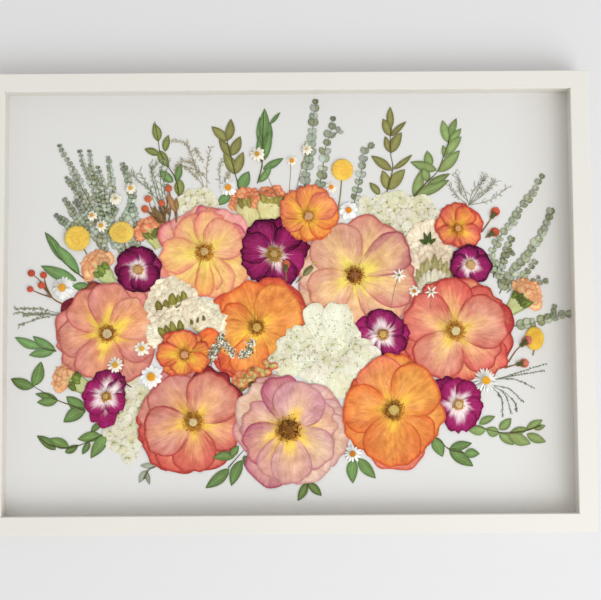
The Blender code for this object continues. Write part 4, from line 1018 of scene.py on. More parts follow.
def layPatch(plant, middle, outline, tint, edgeTint, rng):
    # one crumpled sheet that fills an outline, as a square grid drawn out to it
    corners = np.array(outline, float) - middle
    turn = np.arctan2(corners[:, 1], corners[:, 0])
    order = np.argsort(turn)
    across, along = np.meshgrid(*[np.linspace(-1, 1, patchSheet["grid"])] * 2)
    a = np.arctan2(along, across)
    u = np.maximum(np.abs(along), np.abs(across))
    reach = np.interp(a, turn[order], np.hypot(*corners[order].T), period=2 * math.pi)
    flat = np.dstack([middle[0] + u * reach * np.cos(a), middle[1] + u * reach * np.sin(a)])
    away = (1 - u) * reach
    lift = 0.5 * smooth(away, 0, 4) * (0.6 + wrinkles(flat, rng, 14)) + 0.3 * wrinkles(flat, rng, 6) ** 2
    lay = np.dstack([away, u * reach, flat[..., 0] / 50])
    laySheet(plant, flat, lift, np.full(lift.shape, patchSheet["thick"]), lay, tint, edgeTint,
             (rng.uniform(0, 1), 0.1, 1), patchSheet["reach"])


def layHydrangea(name, seed):
    head = hydrangeas[name]
    rng = np.random.default_rng(seed)
    plant = newPlant()
    white, shadow = paint((238, 234, 212)), paint((220, 216, 178))
    whites = [paint(c) * head.get("tone", 1) for c in floretWhites]
    if "outline" in head:
        layPatch(plant, head["heart"], head["outline"], white, shadow, rng)
    for x0, y0, x1, y1, width in head["large"]:
        length = math.hypot(x1 - x0, y1 - y0)
        layPetal(plant, (x0, y0), math.degrees(math.atan2(y1 - y0, x1 - x0)), length, width, whites[rng.integers(0, 3)],
                 paint((244, 243, 230)), largePetalStyle, rng)
    for x, y, across in head["florets"]:
        first = rng.uniform(0, 90)
        for k in range(4):
            layPetal(plant, (x, y), first + 90 * k + rng.uniform(-12, 12), across / 2 * rng.uniform(0.9, 1.12),
                     across / 2 * rng.uniform(1.05, 1.25), whites[rng.integers(0, 4)] * rng.uniform(0.94, 1.02),
                     paint((246, 244, 232)), floretStyle, rng)
        layGrains(plant, [(x, y)], 1.6, 0.4, paint((176, 178, 110)), 6, 1)
    points = np.concatenate(plant["points"])[:, :2]
    low, high = points.min(0), points.max(0)
    spots = []
    while len(spots) < head["dots"]:
        spot = low + (high - low) * (0.5 + 0.42 * np.tanh(rng.normal(0, 0.6, 2)))
        if np.hypot(*(points - spot).T).min() < 1.0:
            spots.append(spot)
    sizes, tones = rng.uniform(1.0, 2.2, len(spots)), rng.uniform(0.6, 1.3, (len(spots), 1))
    layGrains(plant, spots, sizes, 0.2, paint((172, 166, 110)) * tones, 5, 1)
    finish("pressed_" + name, plant, [looks["floretPetal"], looks["stamen"]], "white_petal", name)


# Carnations from the side: fan middle x, y, radius, direction of the cup in degrees, half spread, colours
carnations = {
    "carnation_peach_right": (250, 4, 21, -135, 78, "apricot"),
    "carnation_peach_upper_left": (-147, 77, 18, -64, 95, "peach"),
    "carnation_peach_left": (-203, 38, 20, -48, 98, "apricot"),
    "carnation_peach_lower_left": (-232, -80, 21, -32, 75, "apricot"),
    "carnation_peach_top": (-42.5, 103, 22, -82, 84, "topPeach"),
    "carnation_cream_right": (153, 42, 25, -90, 95, "ivory"),
    "carnation_cream_upper": (-125, -1, 31, -64, 92, "cream"),
    "carnation_cream_lower": (-123, -29, 29, -56, 80, "cream"),
    "carnation_cream_fan": (-97, -26, 33, -122, 62, "cream"),
}
# teeth of the cups that are seen from the front: base, tip, width
cupTeeth = {
    "carnation_cream_upper": [(-135, -10, -140, 2, 11), (-129, -6, -131, 3, 8), (-123, -3, -124, 10, 11),
        (-116, 0, -118, 8, 7), (-111, 3, -113, 12, 8)],
    "carnation_cream_lower": [(-131, -36, -139, -27, 10), (-127, -34, -131, -24, 8), (-122, -33, -125, -20, 9),
        (-115, -31, -116, -19, 9)],
    "carnation_cream_fan": [(-103, -24, -104, -18, 4), (-97, -22, -96, -16, 3), (-90, -20, -91, -14, 4),
        (-88, -32, -86, -27, 4)],
    "carnation_cream_right": [(143, 14, 131, 26, 9), (144, 17, 136, 34, 9), (147, 19, 141, 41, 10),
        (150, 20, 147, 46, 10), (160, 20, 162, 46, 10), (163, 19, 169, 42, 9), (165, 16, 177, 40, 9),
        (166, 12, 178, 28, 8), (155, 20, 155, 50, 11)],
}
# loose petals that stand beside the fans: base, direction, length, width
sidePetals = {
    "carnation_cream_right": [(148, 60, 150, 25, 20), (148, 60, 118, 27, 20), (148, 60, 86, 28, 20),
        (148, 60, 54, 24, 18), (148, 58, 26, 27, 20), (150, 50, 4, 27, 20), (146, 34, 214, 24, 18),
        (146, 36, 186, 27, 20), (146, 40, 160, 26, 20), (146, 44, 138, 24, 18)],
}
darkSepals = {
    "carnation_cream_right": [(148, 61, 139, 65, 5), (150, 61, 157, 66, 5), (148, 61, 144, 73, 5),
        (149, 61, 151, 74, 5)],
}
secondHeads = {"carnation_peach_top": [(-18.5, 104, 23, -90, 85, "topPeach")]}
carnationTints = {
    "peach": {"petal": (248, 190, 138), "edge": (236, 120, 90), "cup": (208, 208, 140), "sepal": (136, 142, 62)},
    "topPeach": {"petal": (248, 184, 130), "edge": (236, 116, 84), "cup": (226, 214, 158), "sepal": (170, 158, 76)},
    "apricot": {"petal": (250, 208, 156), "edge": (240, 152, 104), "cup": (206, 214, 152), "sepal": (118, 142, 58)},
    "cream": {"petal": (245, 232, 204), "edge": (252, 243, 222), "cup": (226, 222, 180), "sepal": (150, 142, 58)},
    "ivory": {"petal": (246, 230, 204), "edge": (252, 240, 220), "cup": (240, 236, 212), "sepal": (196, 190, 132)},
}
carnationStyle = {
    "grid": (8, 15), "ruffle": 0.05, "dome": 0.15, "curl": 0.35, "fold": 0.22, "cockle": 0.08, "cockleSize": 5,
    "thick": 0.16, "reach": 1.4, "teeth": 0.07,
}


# how far below the fan's middle the cup's waist is and how wide the cup, as shares of the radius
cupShapes = {"topPeach": (-0.1, 1.25)}
plainCup = (0.3, 0.95)
fanRows = ((9, 1.0, 1.14), (8, 0.8, 0.95), (7, 0.58, 0.74))  # petals in each row, and their lengths


def layCarnationHead(plant, x, y, radius, direction, spread, kind, rng, teeth=(), beside=()):
    tint = {key: paint(value) for key, value in carnationTints[kind].items()}
    back = direction + 180
    way = heading(math.radians(direction))
    for x0, y0, turn, length, width in beside:
        layPetal(plant, (x0, y0), turn, length, width, tint["petal"] * rng.uniform(0.92, 1.02), tint["edge"],
                 carnationStyle, rng)
    heart = np.array([x, y]) + way * radius * 0.15
    for count, low, high in fanRows:
        for k in rng.permutation(count):
            turn = back + spread * (2 * (k + 0.5) / count - 1) * (0.95 if low > 0.9 else 0.8)
            length = radius * rng.uniform(low, high)
            tone = rng.uniform(0.82, 1.08)
            layPetal(plant, heart, turn, length, length * rng.uniform(0.5, 0.7), tint["petal"] * tone,
                     tint["edge"] * tone, carnationStyle, rng)
    side = np.array([-way[1], way[0]])
    foot = np.array([x, y]) + way * radius * 1.15
    drop, cupWidth = cupShapes.get(kind, plainCup)
    waist = np.array([x, y]) + way * radius * drop
    if beside or not teeth:
        layLeaf(plant, foot, waist - way * radius * 0.2, radius * cupWidth, tint["cup"],
                tint["sepal"], rng, "cup", (9, 9), thick=0.4, cup=-0.2, bow=0.25, wave=0.06, slot=1)
    for x0, y0, x1, y1, wide in teeth:
        layLeaf(plant, (x0, y0), (x1, y1), wide, tint["sepal"] * rng.uniform(0.75, 1.2),
                tint["sepal"] * (0.75 if beside else 0.5), rng, "tooth", (9, 5), thick=0.25, reach=0.8,
                slot=0 if beside else 1, bend=rng.uniform(-0.06, 0.06))
    if beside:  # the lower half of each tooth is the cup's own green
        for x0, y0, x1, y1, wide in teeth:
            layLeaf(plant, (x0, y0), (x0 + 0.5 * (x1 - x0), y0 + 0.5 * (y1 - y0)), wide * 1.1,
                    tint["cup"] * rng.uniform(0.94, 1.02), tint["cup"] * 0.88, rng, "tooth", (9, 5), thick=0.25,
                    reach=0.8, slot=1)
    if teeth:
        return
    for across in rng.permutation((-0.95, -0.4, 0.15, 0.6, 1.05)):
        base = waist + way * radius * rng.uniform(0.08, 0.3) + side * across * radius * 0.34
        tip = waist - way * radius * rng.uniform(0.15, 0.4) + side * across * radius * rng.uniform(0.4, 0.56)
        layLeaf(plant, base, tip, radius * rng.uniform(0.22, 0.34), tint["sepal"] * rng.uniform(0.65, 1.6),
                tint["sepal"] * 0.6, rng, "leaf", (7, 5), thick=0.2, reach=0.8, slot=1, bend=0.1 * across)


def layCarnation(name, seed):
    rng = np.random.default_rng(seed)
    plant = newPlant()
    layCarnationHead(plant, *carnations[name], rng, cupTeeth.get(name, ()), sidePetals.get(name, ()))
    for head in secondHeads.get(name, ()):
        layCarnationHead(plant, *head, rng)
    for x0, y0, x1, y1, wide in darkSepals.get(name, ()):
        layLeaf(plant, (x0, y0), (x1, y1), wide, paint((84, 112, 40)), paint((44, 70, 20)), rng, "tooth", (7, 5),
                slot=1, reach=0.8)
    slot = "cream_petal" if "cream" in name else "peach_petal"
    finish("pressed_" + name, plant, [looks["carnationPetal"], looks["greenLeaf"]], slot, name)


# Yellow button flowers: middle, half sizes, then the foot of the stem
craspedias = {
    "craspedia_left": (-225, 69, 14, 14, -211, 42, (254, 210, 92)),
    "craspedia_upper_left": (-178, 75, 14, 12, -173, 50, (254, 214, 102)),
    "craspedia_top": (58, 141, 12, 12, 51, 86, (248, 198, 84)),
    "craspedia_right": (260, -41, 10.5, 13, 258, -59, (250, 202, 78)),
}
craspediaFlorets = 190


def layCraspedia(name, seed):
    x, y, wide, deep, footX, footY, colour = craspedias[name]
    rng = np.random.default_rng(seed)
    plant = newPlant()
    layStem(plant, [(footX, footY), ((footX + x) / 2 + 1, (footY + y) / 2), (x, y)], 1.5, 1.3, paint((150, 140, 84)),
            rng, slot=1)
    # the head under the florets, a little darker: painted shade in the gaps between the florets
    layDome(plant, (x, y), wide * 0.95, deep * 0.95, 2.6, paint(colour) * 0.85, rng, 7, 24, 0.02)
    k = np.arange(craspediaFlorets)
    share = np.sqrt((k + 0.5) / len(k))
    spots = around((x, y), wide * 0.95 * share, deep * 0.95 * share, k * seedSpiral)
    spots += rng.normal(0, 0.18, spots.shape)
    tints = paint(colour) * rng.uniform(0.88, 1.15, (len(k), 1))
    layGrains(plant, spots, 2.0 * wide / 14, 0.6, tints, 6, 0, 0.3)
    finish("pressed_" + name, plant, [looks["stamen"], looks["greenLeaf"]], "yellow_floret", name)


# Daisies and stars: x, y, radius, petals, petal width, middle radius, middle colour
daisies = {
    "daisy_left": (-146, -79, 13, 12, 5.6, 4.6, (238, 170, 40)),
    "daisy_far_left": (-240, 16, 12, 20, 4.0, 4.4, (230, 165, 60)),
    "daisy_top_left": (-64, 122, 9.5, 14, 3.4, 3.6, (232, 160, 50)),
    "daisy_top": (64, 97, 10.5, 9, 6.0, 3.4, (236, 150, 40)),
    "daisy_lower_left": (-184, -66, 8.6, 12, 2.6, 3.2, (226, 170, 60)),
    "daisy_near_left": (-156, -49, 8.5, 9, 3.6, 2.8, (226, 170, 60)),
    "daisy_right": (207, -85, 13, 22, 2.3, 4.4, (240, 176, 40)),
    "daisy_bottom": (66, -161, 9.5, 13, 2.6, 3.3, (214, 140, 30)),
    "small_daisy_one": (-199, 82, 7, 11, 2.4, 2.3, (230, 170, 60)),
    "small_daisy_two": (-209, 93, 6, 10, 2.4, 2.0, (230, 170, 60)),
    "small_daisy_three": (-168, 122, 6.5, 10, 2.6, 2.2, (230, 165, 50)),
    "small_daisy_four": (46, 122, 6.5, 9, 3.4, 2.4, (236, 150, 40)),
    "small_daisy_five": (-33, 158, 8.2, 9, 3.8, 2.6, (222, 170, 70)),
    "small_daisy_six": (4, 151, 6, 8, 3.4, 2.4, (236, 150, 40)),
    "small_daisy_seven": (20, 163, 6.2, 8, 2.8, 1.5, (214, 190, 110)),
    "small_daisy_eight": (133, 10, 6, 7, 3.4, 2.0, (206, 140, 50)),
    "white_star_left": (117, 27, 8, 8, 2.3, 1.2, (120, 120, 50)),
    "white_star_right": (151, 9, 7.5, 6, 2.2, 1.2, (150, 130, 50)),
    "white_cluster": (-184, 111, 7, 12, 3.0, 1.6, (206, 190, 120)),
}
daisyStems = {
    "white_star_left": [(108, -8), (112, 12), (116, 24)], "white_star_right": [(150, -8), (151, 4)],
    "small_daisy_five": [(-12, 112), (-20, 130), (-30, 152)], "small_daisy_six": [(1, 117), (2, 132), (3, 147)],
    "small_daisy_seven": [(8, 118), (13, 138), (18, 158)],
}


def layDaisy(name, seed):
    x, y, radius, count, width, middle, colour = daisies[name]
    rng = np.random.default_rng(seed)
    plant = newPlant()
    white = paint((255, 254, 248), 1.08)
    star = "star" in name
    aged = 1 if radius > 9 else np.array((1, 0.97, 0.88) if star else (1, 0.94, 0.8))  # small ones have yellowed
    if not star:
        # a grey-green disc under the petals: the daisy's involucre, and painted shade in the gaps between the petals
        layDome(plant, (x, y), radius * 0.72, radius * 0.72, 0.2, paint((196, 200, 176)), rng, 3, 14, 0.1, slot=1)
    for k in range(count):
        turn = 2 * math.pi * (k + rng.uniform(-0.2, 0.2)) / count
        length = radius * rng.uniform(0.88, 1.08)
        way = heading(turn)
        layLeaf(plant, np.array([x, y]) + way * middle * 0.5, np.array([x, y]) + way * length,
                width * rng.uniform(0.85, 1.1), white * rng.uniform(0.95, 1.0) * aged, paint((250, 249, 240)), rng,
                "star" if star else "strap", (6, 3), bend=rng.uniform(-0.04, 0.04), cup=0.15, thick=0.4, reach=1.0,
                bow=0.5)
    layDome(plant, (x, y), middle, middle, 0.35 * middle, paint(colour) * 0.8, rng, 4, 12, 0.04, slot=1)
    k = np.arange(int(middle * middle * 4) + 4)
    share = middle * 0.95 * np.sqrt((k + 0.5) / len(k))
    spots = around((x, y), share, share, k * seedSpiral)
    layGrains(plant, spots, 0.85, 0.25, paint(colour) * rng.uniform(0.8, 1.2, (len(k), 1)), 5, 1, 0.25)
    if name in daisyStems:
        layStem(plant, daisyStems[name], 0.6, 0.5, paint((150, 140, 90)), rng, slot=1)
    finish("pressed_" + name, plant, [looks["daisyPetal"], looks["stamen"]], "white_petal",
           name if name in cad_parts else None)


# Berries and buds: stems, then berries or buds at x, y and radius, and their colour
berries = {
    "red_berries_left": {"stems": [[(-241, -1), (-252, 6), (-263, 22), (-274, 32)],
        [(-252, 6), (-258, 18), (-261, 30)], [(-252, 6), (-263, 19)], [(-252, 6), (-264, 10), (-275, 15)]],
        "fruit": [(-274, 32, 3.9), (-261, 30, 3.7), (-263, 19, 3.9), (-275, 15, 3.4)], "colour": (196, 82, 54)},
    "red_berries_upper_left": {"stems": [[(-120, 91), (-124, 106), (-128, 122)],
        [(-137, 84), (-145, 97), (-150, 111)], [(-136, 84), (-137, 97), (-135, 106)],
        [(-137, 84), (-145, 92), (-153, 100)], [(-134, 84), (-130, 100), (-128, 122)],
        [(-131, 84), (-133, 100), (-141, 113)], [(-128, 86), (-126, 100), (-130, 113)]], "fruit": [(-128, 122, 4.0),
        (-150, 111, 4.0), (-153, 100, 4.2), (-135, 106, 3.8)], "colour": (196, 96, 60)},
    "red_buds_upper_right": {"stems": [[(206, 73), (214, 84), (221, 95)], [(210, 67), (220, 73)]],
        "fruit": [(221, 95, 5.0), (220, 73, 5.0)], "colour": (222, 96, 70)},
    "pink_buds_right": {"stems": [[(232, -66), (240, -54), (247, -48)], [(228, -72), (238, -69), (244, -68)]],
        "fruit": [(252, -43, 5.2), (249, -67, 5.0)], "colour": (226, 130, 110)},
    "orange_bud_middle": {"stems": [[(-3, 22), (-3, 32), (-3, 38)]], "fruit": [(-3, 40, 4.4)],
        "colour": (222, 112, 74)},
}


def layBerries(name, seed):
    table = berries[name]
    rng = np.random.default_rng(seed)
    plant = newPlant()
    for stem in table["stems"]:
        layStem(plant, stem, 1.7, 0.9, paint((150, 106, 62)), rng, slot=1)
    ends = [np.array(stem[-2:], float) for stem in table["stems"]]
    skin = paint(table["colour"])
    for x, y, radius in table["fruit"]:
        middle = np.array([x, y])
        end = min(ends, key=lambda e: np.hypot(*(e[1] - (x, y))))
        way = (end[1] - end[0]) / np.hypot(*(end[1] - end[0]))
        if "bud" not in name:
            layDome(plant, (x, y), radius, radius * 0.95, 2.2, skin * rng.uniform(0.85, 1.1), rng, 6, 14, 0.05)
            layGrains(plant, [middle + way * radius * 0.8], 1.4, 0.5, paint((90, 60, 40)), 5, 1)
            continue
        across = np.array([-way[1], way[0]])
        base = middle - way * radius * 1.7
        for side, far in ((-0.55, 0.8), (0.55, 0.75), (0.0, 1.05)):  # petals, still rolled together
            layLeaf(plant, base + way * radius * 0.5, middle + way * radius * far + across * radius * side,
                    radius * 1.35, skin * rng.uniform(0.85, 1.15), skin * 0.6, rng, "oval", (8, 7), reach=0.8,
                    bow=0.6, thick=0.5)
        layLeaf(plant, base - way * radius * 0.3, base + way * radius * 0.9, radius * 0.95, paint((140, 140, 76)),
                paint((92, 92, 48)), rng, "oval", (6, 5), slot=1, reach=0.8, bow=0.5)
        for side in (-0.62, 0, 0.62):
            layLeaf(plant, base, base + way * radius * rng.uniform(1.5, 2.1) + across * radius * side, radius * 0.42,
                    paint((124, 128, 66)), paint((74, 78, 40)), rng, "leaf", (7, 5), slot=1, reach=0.8)
    finish("pressed_" + name, plant, [looks["stamen"], looks["greenLeaf"]], "orange_petal")


# Grasses and sea lavender: stems from foot to tip, colour, seed colour, how far the seeds stand off
grasses = {
    "grass_upper_left": ([[(-89, 118), (-93, 132), (-99, 145), (-105, 161), (-110, 171), (-124, 174)], [(-89, 120),
        (-95, 130), (-102, 138), (-116, 148), (-121, 142)], [(-87, 120), (-87, 145), (-83, 166)],
        [(-99, 145), (-104, 150), (-114, 152)], [(-71, 118), (-74, 138), (-71, 152)],
        [(-84, 127), (-95, 140), (-111, 145)], [(-72, 124), (-66, 132), (-63, 138)],
        [(-105, 161), (-99, 163), (-92, 152)]], (170, 158, 120), (204, 192, 156), 3.0),
    "grass_left": ([[(-139, 94), (-148, 120), (-159, 140)], [(-131, 90), (-134, 110), (-137, 137), (-132, 153)],
        [(-134, 104), (-143, 133), (-148, 147)], [(-131, 90), (-146, 118), (-160, 130), (-168, 140)],
        [(-134, 96), (-142, 120), (-146, 140), (-140, 150)], [(-128, 100), (-133, 125), (-128, 150)]], (120, 130, 92),
        (190, 198, 172), 3.4),
    "grass_upper_right": ([[(193, 102), (188, 118), (179, 138)], [(193, 102), (198, 118), (213, 132)],
        [(193, 102), (205, 114), (223, 127)], [(193, 102), (215, 107), (235, 121)],
        [(192, 106), (184, 116), (182, 130)], [(190, 104), (180, 112), (172, 124)],
        [(194, 104), (206, 124), (210, 134)], [(196, 104), (212, 116), (219, 129)]], (150, 152, 126),
        (232, 230, 216), 3.6),
    "grass_far_left": ([[(-243, -11), (-267, -6), (-291, -6)], [(-243, -12), (-264, -11), (-290, -10)],
        [(-243, -12), (-265, -16), (-286, -23)], [(-250, -12), (-268, -12), (-281, -13)]], (150, 154, 124),
        (172, 176, 150), 2.8),
    "fern_right": ([[(219, -84), (245, -76), (272, -68)], [(222, -83), (246, -79), (270, -75)],
        [(214, -84), (238, -84), (258, -93)], [(214, -90), (232, -94), (247, -108)],
        [(214, -90), (228, -100), (234, -120)], [(214, -92), (224, -104), (225, -123)],
        [(228, -98), (238, -108), (240, -118)]], (128, 132, 96), (134, 140, 108), 1.6),
    "sea_lavender": ([[(-83, -68.5), (-79, -54), (-74, -44), (-72.5, -35)], [(-72.5, -38), (-67, -46), (-60, -55)],
        [(-60, -55), (-50, -57), (-43, -52), (-39.5, -42)], [(-84, -66), (-82, -56), (-79, -48)]], (130, 130, 96),
        (196, 200, 190), 3.4),
}
tangles = {"sea_lavender": np.array([(240, 238, 230), (92, 112, 92), (54, 62, 48), (206, 210, 198), (170, 130, 110)])}
looseSeeds = {"grass_upper_right": 0.7, "grass_left": 0.7, "grass_upper_left": 0.25}  # mm off their twigs


def layGrass(name, seed):
    stems, colour, seedColour, stand = grasses[name]
    rng = np.random.default_rng(seed)
    plant = newPlant()
    for points in stems:
        layStem(plant, points, 0.7, 0.4, paint(colour), rng)
        path = smoothPath(points, 8)
        path = path[int(len(path) * 0.3):]
        if name in tangles:
            spots = np.repeat(path, 12, axis=0) + rng.normal(0, stand * 0.56, (len(path) * 12, 2))
            mixed = tangles[name][rng.integers(0, len(tangles[name]), len(spots))]
            layGrains(plant, spots, rng.uniform(1.3, 3.0, len(spots)), 0.6, paint(mixed), 5, 0, 0.1)
            continue
        if name in looseSeeds:
            ahead = np.gradient(path, axis=0)
            ahead /= np.hypot(*ahead.T)[:, None]
            for k, (spot, way) in enumerate(zip(path, ahead)):
                side = 1 - 2 * (k % 2)
                off = way * rng.uniform(0.3, 1.2) + side * np.array([-way[1], way[0]]) * rng.uniform(0.2, 1.0)
                tip = spot + off * stand * rng.uniform(0.6, 1.6)
                layStem(plant, [spot, tip + 0.01], 0.45, 0.3, paint(colour) * rng.uniform(0.7, 1.1), rng, 1)
                spots = spot + (tip - spot) * rng.uniform(0.3, 1.2, (6, 1)) + rng.normal(0, looseSeeds[name], (6, 2))
                tone = rng.choice((0.35, 0.7, 1.0, 1.1), (6, 1))
                layGrains(plant, spots, rng.uniform(0.6, 1.3, 6), 0.4, paint(seedColour) * tone, 4, 0, 0.05)
            continue
        for spot in path:
            for _ in range(4):
                tip = spot + rng.normal(0, stand * 0.55, 2)
                tone = rng.uniform(0.55, 1.15)
                layLeaf(plant, spot, tip + 0.01, rng.uniform(0.8, 1.4) * stand / 2, paint(seedColour) * tone,
                        paint(seedColour) * tone * 0.8, rng, "oval", (4, 3), cup=0.1, thick=0.25, reach=0.6, bow=0.1,
                        stack=False)
    finish("pressed_" + name, plant, [looks["greyLeaf"]], "grey_leaf")


# Loose bits: crumpled petals as middle and radius, then leaves as base, tip, width and colour
bits = {
    "orange_stalk": {"crumpled": [(-56, -88, 8), (-52, -80, 7), (-50, -84, 10), (-42, -80, 10), (-35, -76, 10),
        (-28, -73, 9), (-22, -69, 8)], "leaves": [(-44, -90, -38, -84, 5, (120, 96, 40)),
        (-54, -94, -46, -92, 4, (150, 130, 50)), (-48, -82, -46, -76, 4, (190, 150, 70)),
        (-34, -80, -30, -86, 4, (90, 70, 34)), (-40, -74, -38, -69, 4, (176, 140, 60))]},
    "brown_calyces": {"crumpled": [], "leaves": [(-120, 96, -129, 117, 7, (196, 142, 94)),
        (-119, 98, -120, 112, 5, (172, 136, 80)), (-120, 84, -119, 99, 2.4, (164, 130, 88)),
        (-133, 87, -147, 102, 7, (178, 138, 92)), (-137, 87, -144, 104, 4, (150, 126, 78)),
        (-131, 90, -139, 103, 3, (120, 96, 60)), (-138, 90, -152, 98, 3.4, (160, 116, 74)),
        (-126, 92, -133, 104, 3.4, (146, 118, 72)), (-133, 98, -126, 100, 2.4, (166, 104, 70))]},
    "olive_bud": {"crumpled": [(28, 41, 3)], "leaves": [(15, 27, 25, 39, 6, (128, 128, 76)),
        (16, 27, 27, 37, 4, (160, 150, 100)), (7, 19, 16, 28, 1.4, (150, 130, 100))]},
}
crumpledTints = ((242, 160, 110), (238, 138, 100), (240, 176, 110))


def layBits(name, seed):
    rng = np.random.default_rng(seed)
    plant = newPlant()
    for x, y, radius in bits[name]["crumpled"]:
        for turn in rng.uniform(0, 360, 6):
            tint = paint(crumpledTints[rng.integers(0, 3)]) * rng.uniform(0.85, 1.05)
            middle = np.array([x, y]) + rng.normal(0, radius * 0.2, 2)
            layPetal(plant, middle, turn, radius * rng.uniform(0.7, 1.1), radius, tint, paint((232, 110, 80)),
                     carnationStyle, rng)
    for x0, y0, x1, y1, wide, colour in bits[name]["leaves"]:
        layLeaf(plant, (x0, y0), (x1, y1), wide, paint(colour), paint(colour) * 0.6, rng, "leaf", (7, 5), slot=1,
                reach=0.8)
    finish("pressed_" + name, plant, [looks["carnationPetal"], looks["greenLeaf"]], "orange_petal")


# From the mat up
order = [(stage, name) for stage, names in (
    (layEucalyptus, eucalyptus), (laySprig, leafSprigs), (layGrass, [n for n in grasses if n != "sea_lavender"]),
    (layCraspedia, craspedias),
    (layHydrangea, ["hydrangea_upper_left", "hydrangea_upper_right", "hydrangea_lower_left"]),
    (layCarnation, ["carnation_peach_right", "carnation_peach_upper_left", "carnation_peach_left",
                       "carnation_peach_lower_left", "carnation_peach_top", "carnation_cream_right"]),
    (layRose, ["rose_antique_pink", "rose_peach", "rose_dusty_pink", "violet_rose_upper_left", "violet_rose_top",
               "spray_rose_right", "violet_rose_upper_right", "spray_rose_top", "rose_orange_middle", "rose_coral",
               "violet_rose_middle"]),
    (layHydrangea, ["hydrangea_middle"]), (layBits, ["orange_stalk"]),
    (layRose, ["rose_salmon", "rose_mauve_cream", "violet_rose_lower_right", "rose_orange_right"]),
    (layCarnation, ["carnation_cream_upper", "carnation_cream_lower", "carnation_cream_fan"]),
    (layRose, ["spray_rose_left", "violet_rose_lower_left"]), (layGrass, ["sea_lavender"]),
    (layBits, ["olive_bud"]), (layBerries, berries), (layDaisy, daisies), (layBits, ["brown_calyces"]),
) for name in names]
seeds = {name: 101 + k for k, (stage, name) in enumerate(order)}
# one sprig lies on a rose's edge
order.remove((laySprig, "leaf_sprig_bottom"))
order.insert(order.index((layRose, "rose_mauve_cream")), (laySprig, "leaf_sprig_bottom"))
for stage, name in order:
    stage(name, seeds[name])
    print("laid", name)
curlUp()
for plant in finished:
    makePlant(*plant)
print("highest plant", round(heights.max() - matTop, 2), "mm above the mat")


# Holder: the source's own solids, with better materials
def dress(node, material):
    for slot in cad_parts[node].material_slots:
        slot.material = material


def rough(tree, shader, height, strength):
    # fine relief, as a bump in the surface
    made = wire(tree, "ShaderNodeBump", {"Height": height, "Strength": strength, "Distance": 0.0003})
    tree.links.new(made[0], shader.inputs["Normal"])


def solid(colour):
    return (*paint(colour, cardGain), 1)


woodPaint, tree, shader = newMaterial("satinWhitePaint")
place = wire(tree, "ShaderNodeTexCoord")["Object"]
streaks = grain(tree, wire(tree, "ShaderNodeMapping", {"Vector": place, "Scale": (1, 1, 6)})[0], 260.0, 4.0)
patches = grain(tree, place, 14.0, 3.0)
tree.links.new(blend(tree, patches, solid((228, 227, 220)), solid((232, 231, 225))), shader.inputs["Base Color"])
tree.links.new(ramp(tree, patches, 0.2, 0.8, 0.34, 0.46), shader.inputs["Roughness"])
rough(tree, shader, streaks, 0.12)


def card(name, colour, other, scale, strength, warm=0.0):
    # fibres and faint patches, and painted shade: darker and warmer towards the right edge, beside the wall
    made, tree, shader = newMaterial(name)
    place = wire(tree, "ShaderNodeTexCoord")["Object"]
    fibres = grain(tree, place, scale, 6.0, 0.7)
    patches = grain(tree, place, scale / 60, 2.0)
    share = calc(tree, "MULTIPLY_ADD", fibres, 0.6, calc(tree, "MULTIPLY", patches, 0.4))
    base = blend(tree, share, solid(colour), solid(other))
    # painted shade beside the right wall: the card is darker and warmer towards its right edge
    wallShadeShare = ramp(tree, wire(tree, "ShaderNodeSeparateXYZ", {0: place})[0], 0.225, 0.275, 0.0, warm)
    tree.links.new(blend(tree, wallShadeShare, base, (0.62, 0.54, 0.46, 1)), shader.inputs["Base Color"])
    rough(tree, shader, fibres, strength)
    shader.inputs["Roughness"].default_value = 0.9
    shader.inputs["Specular IOR Level"].default_value = 0.2
    return made


matCard = card("paleMatCard", (227, 226, 226), (232, 231, 231), 900, 0.2, warm=0.18)
linerCard = card("linerCard", (222, 217, 210), (228, 223, 216), 900, 0.15)
backCard = card("woodFibreBoard", (150, 118, 84), (176, 144, 106), 500, 0.5)

steel, tree, shader = newMaterial("brassedSteel")
place = wire(tree, "ShaderNodeTexCoord")["Object"]
brushed = grain(tree, wire(tree, "ShaderNodeMapping", {"Vector": place, "Scale": (1, 20, 20)})[0], 200.0, 3.0)
tree.links.new(blend(tree, brushed, (0.58, 0.52, 0.36, 1), (0.72, 0.66, 0.50, 1)), shader.inputs["Base Color"])
tree.links.new(ramp(tree, brushed, 0.2, 0.8, 0.25, 0.42), shader.inputs["Roughness"])
shader.inputs["Metallic"].default_value = 1.0

glass, tree, shader = newMaterial("clearGlass")
shader.inputs["Base Color"].default_value = (0.99, 1.0, 0.995, 1)
shader.inputs["Roughness"].default_value = 0.0
shader.inputs["IOR"].default_value = 1.12
shader.inputs["Transmission Weight"].default_value = 1.0
clear = wire(tree, "ShaderNodeBsdfTransparent", {"Color": (0.985, 0.99, 0.985, 1)})[0]
paths = wire(tree, "ShaderNodeLightPath")
passing = calc(tree, "MAXIMUM", paths["Is Shadow Ray"], paths["Is Diffuse Ray"])
mixed = wire(tree, "ShaderNodeMixShader", {0: passing, 1: shader.outputs[0], 2: clear})[0]
tree.links.new(mixed, tree.nodes["Material Output"].inputs["Surface"])

for node, material in (("rail_bottom", woodPaint), ("rail_top", woodPaint), ("rail_left", woodPaint),
                       ("rail_right", woodPaint), ("mat_board", matCard), ("liner", linerCard),
                       ("backing_board", backCard), ("sawtooth_hanger", steel), ("glass_pane", glass)):
    dress(node, material)


def addBlock(name, middle, top, turn, size):
    # a block of this size under this height, turned about its upright
    bpy.ops.object.select_all(action="DESELECT")
    bpy.ops.mesh.primitive_cube_add(size=mm, location=(*(middle * mm), (top - size[2] / 2) * mm),
                                    rotation=(0, 0, turn), scale=size)
    return placed(name)


def placed(name):
    piece = bpy.context.object
    piece.name = name
    bpy.ops.object.transform_apply(location=True, rotation=True, scale=True)
    return piece


